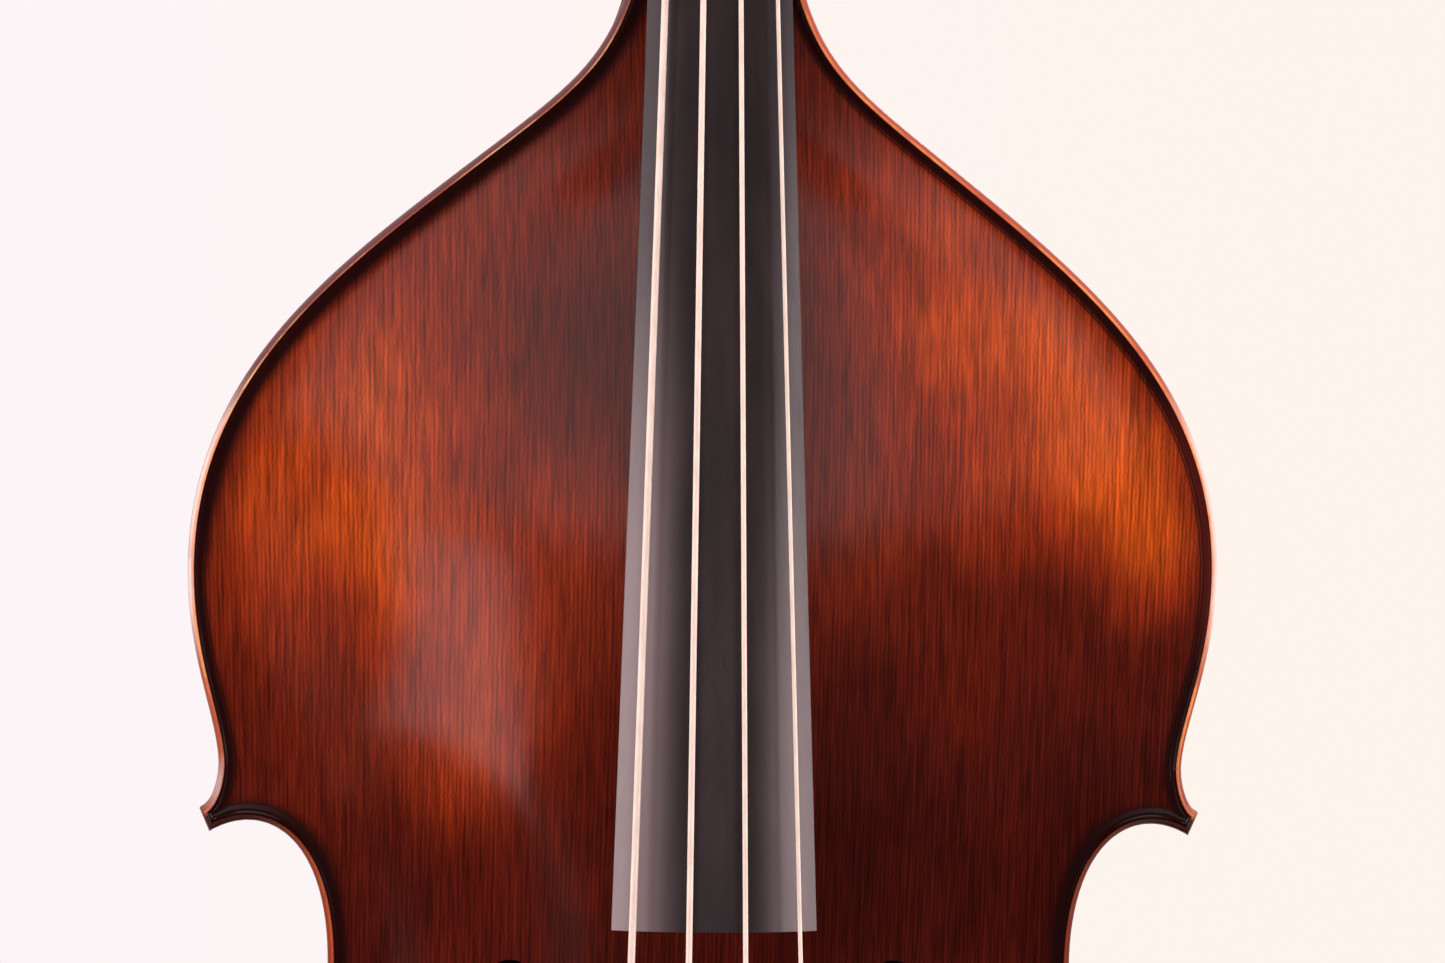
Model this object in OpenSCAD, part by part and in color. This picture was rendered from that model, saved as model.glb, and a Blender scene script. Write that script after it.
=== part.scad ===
// Double bass, built as an assembly of separate parts.
// Millimetres. Z runs up the instrument, the front faces -Y,
// the low string is at -X. The origin is the underside of the endpin foot.

/* [Body] */
// length of the top plate from its bottom edge to the neck
body_length = 1115; // [1060:5:1180]
// widest place of the lower bouts
lower_bout_w = 664; // [620:2:720]
// narrowest place between the C bouts
centre_bout_w = 378; // [354:1:400]
// widest place of the upper bouts
upper_bout_w = 517; // [480:1:560]
// rib height at the bottom block
rib_depth_low = 205; // [180:1:230]
// rib height at the neck block
rib_depth_high = 172; // [150:1:200]
// thickness of the ribs
rib_t = 3; // [2:0.5:4]
// how far the plates stand out past the ribs
overhang = 6; // [4:0.5:8]
// rise of the top above its channel
top_arch = 28; // [20:1:34]
// rise of the back above its channel
back_arch = 24; // [16:1:30]
// thickness of the plates
plate_t = 8; // [6:0.5:10]
// width of the linings
lining_w = 8; // [6:1:10]
// height of the linings
lining_h = 22; // [16:1:28]

/* [Strings] */
// vibrating string length
string_length = 1060; // [1030:5:1080]
// distance of the bridge below the neck end of the top
stop_length = 610; // [590:5:640]
// height of the string plane above the rib plane at the neck
string_rise = 62; // [54:1:70]
// bridge height above the top
bridge_h = 160; // [145:1:175]
// string spread at the nut
nut_spread = 28; // [26:1:32]
// string spread at the bridge
bridge_spread = 86; // [78:1:90]

/* [Neck] */
// fingerboard length
board_length = 900; // [840:5:940]
// fingerboard width at the nut
board_w_nut = 41; // [39:1:46]
// fingerboard width at its free end
board_w_end = 96; // [88:1:102]
// outside width of the pegbox
pegbox_w = 50; // [48:1:54]
// width of the slot in the pegbox
pegbox_slot = 28; // [26:1:30]

/* [Endpin] */
// floor to the underside of the steel collar
endpin_out = 146; // [132:1:200]
// diameter of the steel rod
rod_d = 10; // [8:0.5:12]
// length of the rod
rod_length = 420; // [380:5:440]

/* [Tuners] */
// teeth on each gear
gear_teeth = 24; // [20:1:28]
// tooth size, pitch diameter divided by teeth
gear_module = 1.1; // [1:0.05:1.2]
// spacing of the rollers along the pegbox
roller_pitch = 39; // [38:0.5:42]
// radial room in the turning fits
run_fit = 0.06; // [0.04:0.01:0.1]

/* [Hidden] */
$fn = 48;
eps = 0.01;
// clearance between parts that meet without moving
seat = 0.05;

// endpin stack below the body edge
neck_drop = 12;
flange_h = 10;
collar_h = 22;
body_z = endpin_out + collar_h + flange_h + neck_drop;
top_z = body_z + body_length;
// rib planes: the front one is upright, the back one leans in
y_f = -rib_depth_low/2;
y_b0 = rib_depth_low/2;
y_b1 = y_f + rib_depth_high;
function back_y(z) = y_b0 + (y_b1 - y_b0)*z/body_length;
back_lean = atan((y_b0 - y_b1)/body_length);

// outline, half width and height above the bottom edge
low_x = lower_bout_w/2;
mid_x = centre_bout_w/2;
up_x = upper_bout_w/2;
low_z = 0.215*body_length;
mid_z = 0.5436*body_length;
up_z = 0.721*body_length;
neck_x = 38;
// the four corner points lie at fixed steps from the bouts
cl_z = 0.415*body_length;
cu_z = 0.6135*body_length;
tip_l1 = [low_x - 60.5, cl_z];
tip_l2 = [low_x - 64, cl_z + 12];
tip_u1 = [up_x - 10.3, cu_z - 11.8];
tip_u2 = [up_x - 5.4, cu_z];
waist_l = [low_x - 68, cl_z - 22];
waist_u = [up_x - 14.9, cu_z + 23];
shoulder = [up_x*0.487, body_length - 111];
shoulder_a = 52;

function bez(p, t) = (1-t)*(1-t)*(1-t)*p[0] + 3*(1-t)*(1-t)*t*p[1] + 3*(1-t)*t*t*p[2] + t*t*t*p[3];
function bez_pts(p, n, first) = [for (i = [first:n]) bez(p, i/n)];
function ray(a) = [sin(a), -cos(a)];
function unit(v) = v/norm(v);
function sum_rows(v) = [for (r = v) 1]*v;

// curves of the half outline, from the bottom up to the neck
c_bottom = [[0, 0], [0.6*low_x, 0], [low_x, 0.42*low_z], [low_x, low_z]];
c_lower = [[low_x, low_z], [low_x, low_z + 95], waist_l - [0, 42], waist_l];
c_flare_l = [waist_l, waist_l + [0, 8], tip_l1 - [5, 6], tip_l1];
c_mid_l = [tip_l2, tip_l2 - [70, 18], [mid_x, mid_z - 75], [mid_x, mid_z]];
c_mid_u = [[mid_x, mid_z], [mid_x, mid_z + 64], tip_u1 + [-28, 17], tip_u1];
c_flare_u = [tip_u2, tip_u2 + [-7, 3], waist_u - [0, 6], waist_u];
c_upper = [waist_u, waist_u + [0, 22], [up_x, up_z - 45], [up_x, up_z]];
c_shoulder = [[up_x, up_z], [up_x, up_z + 96], shoulder + 83*ray(shoulder_a), shoulder];
c_neck = [shoulder, shoulder - 75*ray(shoulder_a), [neck_x, body_length] + 58*ray(13),
  [neck_x, body_length]];
n_bottom = 11;
n_low = 15;
n_up = 13;
half_low = concat(bez_pts(c_lower, 5, 1), bez_pts(c_flare_l, 3, 1),
  bez_pts(c_mid_l, 6, 0));
half_up = concat(bez_pts(c_mid_u, 6, 1), bez_pts(c_flare_u, 3, 0), bez_pts(c_upper, 3, 1));
half_top = concat(bez_pts(c_shoulder, 7, 1), bez_pts(c_neck, 5, 1));
half = concat(bez_pts(c_bottom, n_bottom, 0), half_low, half_up, half_top);
n_half = len(half) - 1;

// arch boundary: an inner line that passes the corners by
inset = 20;
a_bottom = [[0, inset], [0.56*low_x, inset], [low_x - inset, 0.45*low_z], [low_x - inset, low_z]];
a_low = [[low_x - inset, low_z], [low_x - inset, low_z + 160], [mid_x - inset, mid_z - 150],
  [mid_x - inset, mid_z]];
a_up = [[mid_x - inset, mid_z], [mid_x - inset, mid_z + 90], [up_x - inset, up_z - 90],
  [up_x - inset, up_z]];
a_sh = shoulder - inset*[cos(shoulder_a), sin(shoulder_a)];
a_shoulder = [[up_x - inset, up_z], [up_x - inset, up_z + 90], a_sh + 52*ray(shoulder_a), a_sh];
a_neck = [a_sh, a_sh - 30*ray(shoulder_a), [18, body_length - inset] + 55*ray(12),
  [18, body_length - inset]];
arch_line = concat(bez_pts(a_bottom, 16, 0), bez_pts(a_low, 16, 1), bez_pts(a_up, 14, 1),
  bez_pts(a_shoulder, 12, 1), bez_pts(a_neck, 8, 1));
arch_table = [for (p = arch_line) [p[1], p[0]]];
function arch_x(z) = max(1, lookup(z, arch_table));
// rise of the arch as a share of its full height
function arch_share(x, z, xb) =
  let (v = (z - inset)/(body_length - 2*inset), u = min(1, abs(x)/xb))
  v <= 0 || v >= 1 ? 0 :
  pow(1 - pow(abs(2*v - 1), 3), 1.5)*pow(0.5 + 0.5*cos(180*u), 0.75);

// partners of the outline stations on the arch boundary, spread by run length
function run_share(v, from) =
  let (d = [for (i = [0:len(v)-1]) norm(v[i] - (i == 0 ? from : v[i-1]))],
       c = [for (i = 0, s = d[0]; i < len(v); i = i + 1, s = s + (i < len(v) ? d[i] : 0)) s])
  [for (s = c) s/c[len(v)-1]];
b_low = [for (s = run_share(half_low, [low_x, low_z]))
  let (z = low_z + s*(mid_z - low_z)) [arch_x(z), z]];
b_up = [for (s = run_share(half_up, [mid_x, mid_z]))
  let (z = mid_z + s*(up_z - mid_z)) [arch_x(z), z]];
b_half = concat(bez_pts(a_bottom, n_bottom, 0), b_low, b_up, bez_pts(a_shoulder, 7, 1),
  bez_pts(a_neck, 5, 1));

// plate surface: columns across the arch
cols = 10;
function col_x(k) = let (f = 2*k/cols - 1) sign(f)*pow(abs(f), 0.9);
function loop(h, top) = concat([for (i = [0:n_half]) h[i]],
  [for (k = [1:cols-1]) [-top[0]*col_x(k), top[1]]],
  [for (i = [n_half:-1:1]) [-h[i][0], h[i][1]]]);
p_loop = loop(half, half[n_half]);
b_loop = loop(b_half, b_half[n_half]);
n_loop = len(p_loop);
function inward(i) = let (d = p_loop[(i+1) % n_loop] - p_loop[(i+n_loop-1) % n_loop])
  unit([-d[1], d[0]]);
// edge section: distance in from the edge, height above the rib plane
crest_d = 3.4;
channel_h = 5.5;
edge_low = [[0, 4], [1.2, 7.4], [crest_d, 9.2]];
edge_in = [[2.4, 6.9], [8.5, channel_h]];
crest = [for (i = [0:n_loop-1]) p_loop[i] + crest_d*inward(i)];
rim = concat([[for (p = p_loop) [p[0], p[1], 0]]],
  [for (e = edge_low) [for (i = [0:n_loop-1])
    let (q = p_loop[i] + e[0]*inward(i)) [q[0], q[1], e[1]]]],
  [for (e = edge_in) [for (i = [0:n_loop-1])
    let (v = b_loop[i] - crest[i], q = crest[i] + v*min(0.9, e[0]/norm(v))) [q[0], q[1], e[1]]]],
  [[for (p = b_loop) [p[0], p[1], channel_h]]]);
n_rim = len(rim);
// grid rows run from the left boundary to the right one
function row_pts(rise, base, cut) = [for (i = [1:n_half-1]) for (k = [1:cols-1])
  let (x = b_half[i][0]*col_x(k), z = b_half[i][1])
  [x, z, max(0, base + rise*arch_share(x, z, b_half[i][0]) - cut)]];
grid_n = (n_half - 1)*(cols - 1);
function left_i(i) = n_loop - i;
// index of a grid point, with the boundary loop at its ends and top
function gi(i, k, ring0, grid0) =
  k == 0 ? ring0 + (i == 0 ? 0 : left_i(i)) : k == cols ? ring0 + i :
  i == n_half ? ring0 + n_half + cols - k : i == 0 ? ring0 : grid0 + (i-1)*(cols-1) + k - 1;
function grid_faces(ring0, grid0, flip) = [for (i = [0:n_half-1]) for (k = [0:cols-1])
  let (a = gi(i, k, ring0, grid0), b = gi(i, k+1, ring0, grid0),
       c = gi(i+1, k+1, ring0, grid0), d = gi(i+1, k, ring0, grid0))
  for (f = i == 0 ? [[a, c, d]] : [[a, b, c], [a, c, d]]) flip ? [f[2], f[1], f[0]] : f];
function ring_faces(a0, b0, flip) = [for (i = [0:n_loop-1]) let (j = (i+1) % n_loop)
  for (f = [[a0+i, a0+j, b0+j], [a0+i, b0+j, b0+i]]) flip ? [f[2], f[1], f[0]] : f];

// one carved plate standing on the XY plane, outline in XY
module carved_plate(rise) {
  under0 = n_rim*n_loop;
  outer_grid = under0 + n_loop;
  inner_grid = outer_grid + grid_n;
  pts = concat([for (r = rim) for (p = r) p], [for (p = b_loop) [p[0], p[1], 0]],
    row_pts(rise, channel_h, 0), row_pts(rise, channel_h, plate_t));
  faces = concat(
    [for (r = [0:n_rim-2]) for (f = ring_faces(r*n_loop, (r+1)*n_loop, true)) f],
    grid_faces((n_rim-1)*n_loop, outer_grid, true),
    ring_faces(0, under0, false), grid_faces(under0, inner_grid, false));
  polyhedron(pts, faces, convexity = 8);
}

// lays an XY outline upright, with its thickness running to the front
module to_front() translate([0, y_f, body_z]) rotate([90, 0, 0]) children();
// the same on the leaning back plane, thickness running to the back
module to_back() translate([0, y_b0, body_z]) rotate([90 + back_lean, 0, 0])
  mirror([0, 0, 1]) children();
// upright slab between two depths, from an XY outline
module slab(y0, y1) translate([0, y1, body_z]) rotate([90, 0, 0])
  linear_extrude(y1 - y0) children();
// side view outline in Y and Z, spread along X
module side(x0, x1) translate([x0, 0, 0]) rotate([90, 0, 90]) linear_extrude(x1 - x0) children();
// everything between the two rib planes
module between() intersection() {
  children();
  side(-500, 500) polygon([[y_f, body_z - 100], [back_y(-100), body_z - 100],
    [back_y(body_length + 100), top_z + 100], [y_f, top_z + 100]]);
}
module outline(d) offset(delta = -d) polygon(p_loop);

// sound hole on the treble side, heights from the bridge line
bridge_y = body_length - stop_length;
eye_u = [96, bridge_y + 92];
eye_l = [140, bridge_y - 82];
eye_ur = 13.5;
eye_lr = 17;
module sound_hole() {
  translate(eye_u) circle(eye_ur);
  translate(eye_l) circle(eye_lr);
  polygon(concat(
    bez_pts([eye_u + [eye_ur - 1, -4], eye_u + [2, -42], [122, bridge_y + 16],
      [128, bridge_y - 24]], 10, 0),
    bez_pts([[128, bridge_y - 24], [131, bridge_y - 44], [131, bridge_y - 54],
      eye_l + [-8, 15]], 5, 1),
    [eye_l + [-eye_lr + 1, 4]],
    bez_pts([eye_l + [-eye_lr + 1, 4], eye_l + [-14, 36], [108, bridge_y - 14],
      [102, bridge_y + 26]], 10, 1),
    bez_pts([[102, bridge_y + 26], [96, bridge_y + 50], [97, bridge_y + 66],
      eye_u + [6, -12]], 5, 1)));
  // nick that marks the bridge line
  translate([115.5, bridge_y]) polygon([[-10, 0], [0, 5], [0, -5]]);
  translate([115.5, bridge_y]) polygon([[13, 0], [0, 5], [0, -5]]);
}

// neck root
tenon_d = 14;
tenon_w = 58;
module tenon_2d(room) polygon([[-tenon_w/2 - room, body_length + 1],
  [tenon_w/2 + room, body_length + 1], [tenon_w/2 + room, body_length - tenon_d - room],
  [-tenon_w/2 - room, body_length - tenon_d - room]]);
// saddle seat in the top's bottom edge
saddle_w = 60;
saddle_d = 16;
module saddle_seat(room) translate([-saddle_w/2 - room, -1])
  square([saddle_w + 2*room, saddle_d + 1 + room]);

module top_plate() color([0.45, 0.16, 0.07]) difference() {
  to_front() carved_plate(top_arch);
  slab(y_f - 60, y_f + 1) {
    sound_hole();
    mirror([1, 0]) sound_hole();
    tenon_2d(seat);
    saddle_seat(seat);
  }
}

button_r = 24;
module back_plate() color([0.42, 0.15, 0.07]) {
  to_back() carved_plate(back_arch);
  to_back() translate([0, body_length/cos(back_lean), 0]) difference() {
    cylinder(r = button_r, h = channel_h);
    translate([-50, -100, -1]) cube([100, 99, 20]);
  }
}

// corner split lines for the ribs
split_l = [tip_l1 + tip_l2, [2*(mid_x - 60), 2*(cl_z + 2)]]/2;
split_u = [tip_u1 + tip_u2, [2*(mid_x - 60), 2*(cu_z + 12)]]/2;
module rib_ring() difference() {
  outline(overhang);
  outline(overhang + rib_t);
}
// side = 1 treble, -1 bass
module rib_part(s, zone) color([0.4, 0.14, 0.06]) difference() {
  rib_strip(s, zone);
  // hole for the endpin plug
  if (zone == 0) translate([0, 0, body_z - 20]) cylinder(r = plug_r + seat, h = 60);
}
module rib_strip(s, zone) between() slab(y_f, y_b0) intersection() {
  difference() {
    rib_ring();
    tenon_2d(seat);
  }
  scale([s, 1]) polygon(
    zone == 0 ? [[0, -50], [500, -50], [500, split_l[0][1]], split_l[0], split_l[1],
      [0, split_l[1][1]]] :
    zone == 1 ? [[0, split_l[1][1]], split_l[1], split_l[0], [500, split_l[0][1]],
      [500, split_u[0][1]], split_u[0], split_u[1], [0, split_u[1][1]]] :
    [[0, split_u[1][1]], split_u[1], split_u[0], [500, split_u[0][1]], [500, body_length + 50],
      [0, body_length + 50]]);
}
module upper_rib_bass() rib_part(-1, 2);
module upper_rib_treble() rib_part(1, 2);
module centre_rib_bass() rib_part(-1, 1);
module centre_rib_treble() rib_part(1, 1);
module lower_rib_bass() rib_part(-1, 0);
module lower_rib_treble() rib_part(1, 0);

// blocks fill the rib garland from plate to plate
inner_d = overhang + rib_t;
block_h = 48;
block_w = 124;
module neck_block_2d(room) intersection() {
  outline(inner_d);
  translate([-block_w/2 - room, body_length - block_h - room]) square([block_w + 2*room, 100]);
}
module end_block_2d(room) intersection() {
  outline(inner_d);
  translate([-block_w/2 - room, -10]) square([block_w + 2*room, block_h + 10 + room]);
}
module corner_block_2d(room) for (s = [-1, 1]) scale([s, 1]) intersection() {
  outline(inner_d);
  union() {
    translate(tip_u1 + [-8, 8]) circle(44 + room, $fn = 24);
    translate(tip_l2 + [-8, -8]) circle(48 + room, $fn = 24);
  }
}
module neck_block() color([0.78, 0.62, 0.42]) between() slab(y_f, y_b0) difference() {
  neck_block_2d(0);
  tenon_2d(seat);
}
plug_r = 16;
module end_block() color([0.78, 0.62, 0.42]) difference() {
  between() slab(y_f, y_b0) end_block_2d(0);
  translate([0, 0, body_z - 20]) cylinder(r = plug_r + seat, h = 120);
}
module corner_blocks() color([0.78, 0.62, 0.42]) between() slab(y_f, y_b0) corner_block_2d(0);
module lining_2d() difference() {
  outline(inner_d);
  outline(inner_d + lining_w);
  neck_block_2d(0);
  end_block_2d(0);
  corner_block_2d(0);
}
module front_linings() color([0.8, 0.66, 0.46]) slab(y_f, y_f + lining_h) lining_2d();
module back_linings() color([0.8, 0.66, 0.46]) difference() {
  between() slab(y_f, y_b0) lining_2d();
  side(-500, 500) polygon([[y_f - 1, body_z - 100], [back_y(-100) - lining_h, body_z - 100],
    [back_y(body_length + 100) - lining_h, top_z + 100], [y_f - 1, top_z + 100]]);
}

// rise of the top's inner and outer faces above the rib plane
function top_out(x, z) = channel_h + top_arch*arch_share(x, z, arch_x(z));
function top_in(x, z) = max(0, top_out(x, z) - plate_t);
function back_in(x, z) = max(0, channel_h + back_arch*arch_share(x, z, arch_x(z)) - plate_t);

// generic solid through a list of equal closed sections; the end faces fan out from point hub
module loft(s, hub = 0) {
  m = len(s[0]);
  n = len(s);
  way = sum_rows([for (j = [0:m-1]) cross(s[0][j] - s[0][0], s[0][(j+1) % m] - s[0][0])])
    *(s[1][0] - s[0][0]);
  faces = concat([[for (j = [0:m-1]) (j + hub) % m]],
    [for (i = [0:n-2]) for (j = [0:m-1]) let (k = (j+1) % m)
      for (f = [[i*m+j, (i+1)*m+j, (i+1)*m+k], [i*m+j, (i+1)*m+k, i*m+k]]) f],
    [[for (j = [m:-1:1]) (n-1)*m + (j + hub) % m]]);
  polyhedron([for (r = s) for (p = r) p],
    way > 0 ? faces : [for (f = faces) [for (j = [len(f):-1:1]) f[j % len(f)]]], convexity = 6);
}

// bass bar under the low string side
bar_w = 22;
bar_z0 = bridge_y - 400;
bar_z1 = bridge_y + 390;
function bar_x(z) = -56 + 14*(z - bridge_y)/400;
module bass_bar() color([0.8, 0.68, 0.48]) loft([for (i = [0:14])
  let (t = i/14, z = bar_z0 + t*(bar_z1 - bar_z0), x = bar_x(z),
       h1 = min(top_in(x - bar_w/2, z), top_in(x + bar_w/2, z)) - 0.3,
       d = 12 + 26*sin(180*t))
  [[x - bar_w/2, y_f - h1, body_z + z], [x + bar_w/2, y_f - h1, body_z + z],
   [x + bar_w/2, y_f - h1 + d*0.7, body_z + z], [x + bar_w*0.2, y_f - h1 + d, body_z + z],
   [x - bar_w*0.2, y_f - h1 + d, body_z + z], [x - bar_w/2, y_f - h1 + d*0.7, body_z + z]]]);

// sound post behind the treble bridge foot
post_x = 56;
post_z = bridge_y - 28;
post_r = 9;
function low_edge(f, x, z, r) = min([for (a = [0:45:315])
  f == 0 ? top_in(x + r*cos(a), z + r*sin(a)) : back_in(x + r*cos(a), z + r*sin(a))]);
module sound_post() color([0.82, 0.7, 0.5])
  let (y0 = y_f - low_edge(0, post_x, post_z, post_r) + 0.2,
       y1 = back_y(post_z) + low_edge(1, post_x, post_z, post_r) - 0.8)
  translate([post_x, y0, body_z + post_z]) rotate([-90, 0, 0]) cylinder(r = post_r, h = y1 - y0);

// string plane
crown_h = channel_h + top_arch + bridge_h;
crown = [0, y_f - crown_h, top_z - stop_length];
neck_a = atan((crown_h - string_rise)/stop_length);
// neck frame: origin on the string plane at the nut, Z up the strings
module neck_frame() translate(crown) rotate([-neck_a, 0, 0]) translate([0, 0, string_length])
  children();
function from_neck(p) = let (z = p[2] + string_length)
  crown + [p[0], p[1]*cos(neck_a) + z*sin(neck_a), -p[1]*sin(neck_a) + z*cos(neck_a)];
string_d = [3.4, 2.9, 2.4, 2.0];
share = [-0.5, -1/6, 1/6, 0.5];
nut_r = 50;
bridge_r = 76;
function sag(x, r) = r - sqrt(r*r - x*x);
function nut_pt(i) = let (x = nut_spread*share[i]) [x, sag(x, nut_r), 0];
function bridge_pt(i) = let (x = bridge_spread*share[i]) crown + [x, sag(x, bridge_r), 0];

// fingerboard section at distance d below the nut
board_top = 1.6;
board_top_end = 9.5;
board_side = 9;
function board_w(d) = board_w_nut + (board_w_end - board_w_nut)*d/board_length;
function board_r(d) = 45 + 21*d/board_length;
function board_y(d) = board_top + (board_top_end - board_top)*d/board_length;
function board_under(d) = board_y(d) + sag(board_w(d)/2, board_r(d)) + board_side;
board_flat0 = board_under(0);
board_flat1 = board_under(board_length);
function flat_y(d) = board_flat0 + (board_flat1 - board_flat0)*d/board_length;
neck_len = string_length - stop_length/cos(neck_a);
module fingerboard() color([0.07, 0.065, 0.065]) neck_frame() loft([
  for (q = [[5, 0], [200, 0], [neck_len + 20, 0], [neck_len + 60, 6], [board_length, 9]])
  let (d = q[0], w = board_w(d)/2, r = board_r(d), y0 = board_y(d), a = asin(w/r), u = flat_y(d))
  concat([for (j = [-8:8]) [r*sin(a*j/8), y0 + r - r*cos(a*j/8), -d]],
    [for (j = [4:-1:-4]) [w*j/4, u - q[1]*(1 - j*j/16), -d]])], hub = 8);

// tuner places in the neck frame: order e, a, d, g
roller_y = [27, 33, 34, 30];
roller_step = [0, 2, 3, 1];
function roller_z(i) = 46 + roller_pitch*roller_step[i];
tuner_side = [-1, -1, 1, 1];
barrel_r = 7;
// windings: where each starts on its roller and how it runs
wind_x = [-9, -4.5, 4.5, 9];
wind_dir = [1, 1, -1, -1];
wind_turns = 3;
wind_gap = 0.45;
function wind_r(i) = barrel_r + 0.3 + string_d[i]/2;
// angle of the string from the nut down to the front of its roller
function drop_a(i) = let (p = nut_pt(i), dy = roller_y[i] - p[1], dz = roller_z(i))
  atan2(dy, dz) - asin(wind_r(i)/norm([dy, dz]));

// nut
module nut() color([0.06, 0.055, 0.055]) neck_frame() difference() {
  translate([0, 0, -5 + seat]) linear_extrude(10) intersection() {
    translate([-board_w_nut/2, -4]) square([board_w_nut, flat_y(0) + 4 - seat]);
    translate([0, nut_r - 1.2]) circle(nut_r);
  }
  for (i = [0:3]) let (p = nut_pt(i)) {
    translate([p[0], p[1], -6]) cylinder(d = string_d[i] + 0.3, h = 6 + eps, $fn = 24);
    translate(p) rotate([-drop_a(i), 0, 0]) cylinder(d = string_d[i] + 1, h = 12, $fn = 24);
  }
}

// neck shaft and heel as level slices
nut_z = from_neck([0, flat_y(0), 0])[2];
front_0 = from_neck([0, flat_y(0) + seat, 0]);
front_1 = from_neck([0, flat_y(board_length) + seat, -board_length]);
shaft_0 = from_neck([0, 43, 0]);
shaft_1 = from_neck([0, 47, -neck_len]);
function on_line(a, b, z) = a[1] + (b[1] - a[1])*(z - a[2])/(b[2] - a[2]);
heel_foot = 18;
heel_h = 115;
foot_y = back_y(body_length);
function heel_share(z) = let (s = (z - top_z - heel_foot)/heel_h)
  s <= 0 ? 1 : s >= 1 ? 0 : 1 - sqrt(1 - (1-s)*(1-s));
function slice(z) = let (f = on_line(front_0, front_1, z), b0 = on_line(shaft_0, shaft_1, z),
  k = heel_share(z), bf = foot_y - (z - top_z)*tan(back_lean) - seat, b = b0 + (bf - b0)*k,
  w = board_w((nut_z - z)/cos(neck_a))/2, e = 2 + 5*k, r = z - top_z,
  wb = k < 1 ? w*(1 - 0.45*k) : sqrt(max(1, button_r*button_r - r*r)))
  [for (j = [-8:8]) let (g = 90*j/8, u = pow(abs(cos(g)), 2/e))
    [sign(j)*pow(abs(sin(g)), 2/e)*(w + (wb - w)*u), f + (b - f)*u, z]];
slice_z = concat([0, heel_foot*0.5, heel_foot],
  [for (s = [0.02, 0.06, 0.12, 0.2, 0.32, 0.48, 0.7, 1]) heel_foot + s*heel_h]);
pegbox_back = 60;
scroll_c = [20, 250];
scroll_r0 = 46;
scroll_r1 = 12;
turn_n = 20;
scroll_n = 45;
scroll_a0 = -60;
function scroll_r(j) = scroll_r0*pow(scroll_r1/scroll_r0, j/scroll_n);
function scroll_x(j) = let (s = j/scroll_n) 20 - 22*s + 38*s*s;
function scroll_pt(j, r, x) = let (a = scroll_a0 + 360*j/turn_n)
  [x, scroll_c[0] + r*cos(a), scroll_c[1] + r*sin(a)];
// one side of the scroll: three lines of points per station
function scroll_side(s) = [for (j = [0:scroll_n]) let (r = scroll_r(j), x = scroll_x(j),
  q = j + turn_n > scroll_n ? 4 : scroll_r(j + turn_n))
  for (p = [scroll_pt(j, r, s*(x - 1.5)), scroll_pt(j, r - 2, s*x),
    scroll_pt(j, q + 0.3*(r - q), s*(x - 5))]) p];
scroll_m = 3*(scroll_n + 1);
scroll_rim = 2*scroll_m;
scroll_eye = scroll_rim + 3*(turn_n + 1);
function scroll_faces(o, eye, flip) = let (l = scroll_n - turn_n, f = concat(
  [for (j = [0:scroll_n-1]) for (k = [0:1]) let (a = o + 3*j + k)
    for (t = [[a, a+1, a+4], [a, a+4, a+3]]) t],
  [for (j = [0:l-1]) let (a = o + 3*j + 2, b = o + 3*(j + turn_n))
    for (t = [[a, b, b+3], [a, b+3, a+3]]) t],
  [for (j = [l:scroll_n-1]) [o + 3*j + 2, eye, o + 3*j + 5]],
  let (a = o + 3*l + 2, b = o + 3*scroll_n) [[a, b, b+1], [a, b+1, b+2], [a, b+2, eye]]))
  [for (t = f) flip ? [t[2], t[1], t[0]] : t];
module scroll() {
  rim = [for (j = [0:turn_n]) let (r = scroll_r(j), x = scroll_x(j))
    for (p = [scroll_pt(j, r - 2.5, 0.5*x), scroll_pt(j, r, 0), scroll_pt(j, r - 2.5, -0.5*x)]) p];
  eye_x = scroll_x(scroll_n) + 3;
  pts = concat(scroll_side(1), scroll_side(-1), rim,
    [[eye_x, scroll_c[0], scroll_c[1]], [-eye_x, scroll_c[0], scroll_c[1]],
     scroll_pt(0, (scroll_r(0) + scroll_r(turn_n))/2, 0)]);
  function lines(j) = [3*j, scroll_rim + 3*j, scroll_rim + 3*j + 1, scroll_rim + 3*j + 2,
    scroll_m + 3*j];
  // the cut end of the first turn, hidden in the pegbox
  cut = concat([3*turn_n, 2, 1], lines(0), [scroll_m + 1, scroll_m + 2, scroll_m + 3*turn_n],
    [for (k = [3:-1:1]) lines(turn_n)[k]]);
  polyhedron(pts, concat(
    scroll_faces(0, scroll_eye, false), scroll_faces(scroll_m, scroll_eye + 1, true),
    [for (j = [0:turn_n-1]) let (a = lines(j), b = lines(j+1)) for (k = [0:3])
      for (t = [[a[k], b[k], b[k+1]], [a[k], b[k+1], a[k+1]]]) t],
    [for (k = [0:len(cut)-1]) [scroll_eye + 2, cut[k], cut[(k+1) % len(cut)]]]), convexity = 10);
}
// pegbox in side view: cheek front, throat under the scroll, back, chin over the neck
pegbox_side = concat([[flat_y(0) + seat, -4], [flat_y(0) + seat, 9], [10, 24], [10.5, 60]],
  bez_pts([[13, 172], [14, 200], [21, 214], [40, 230]], 7, 0),
  bez_pts([[57.4, 227], [51.5, 206], [pegbox_back + 2, 122], [pegbox_back, 40]], 9, 0),
  bez_pts([[pegbox_back, 40], [pegbox_back - 2, 12], [46, 14], [40, -8]], 8, 1), [[30, -8]]);
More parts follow.
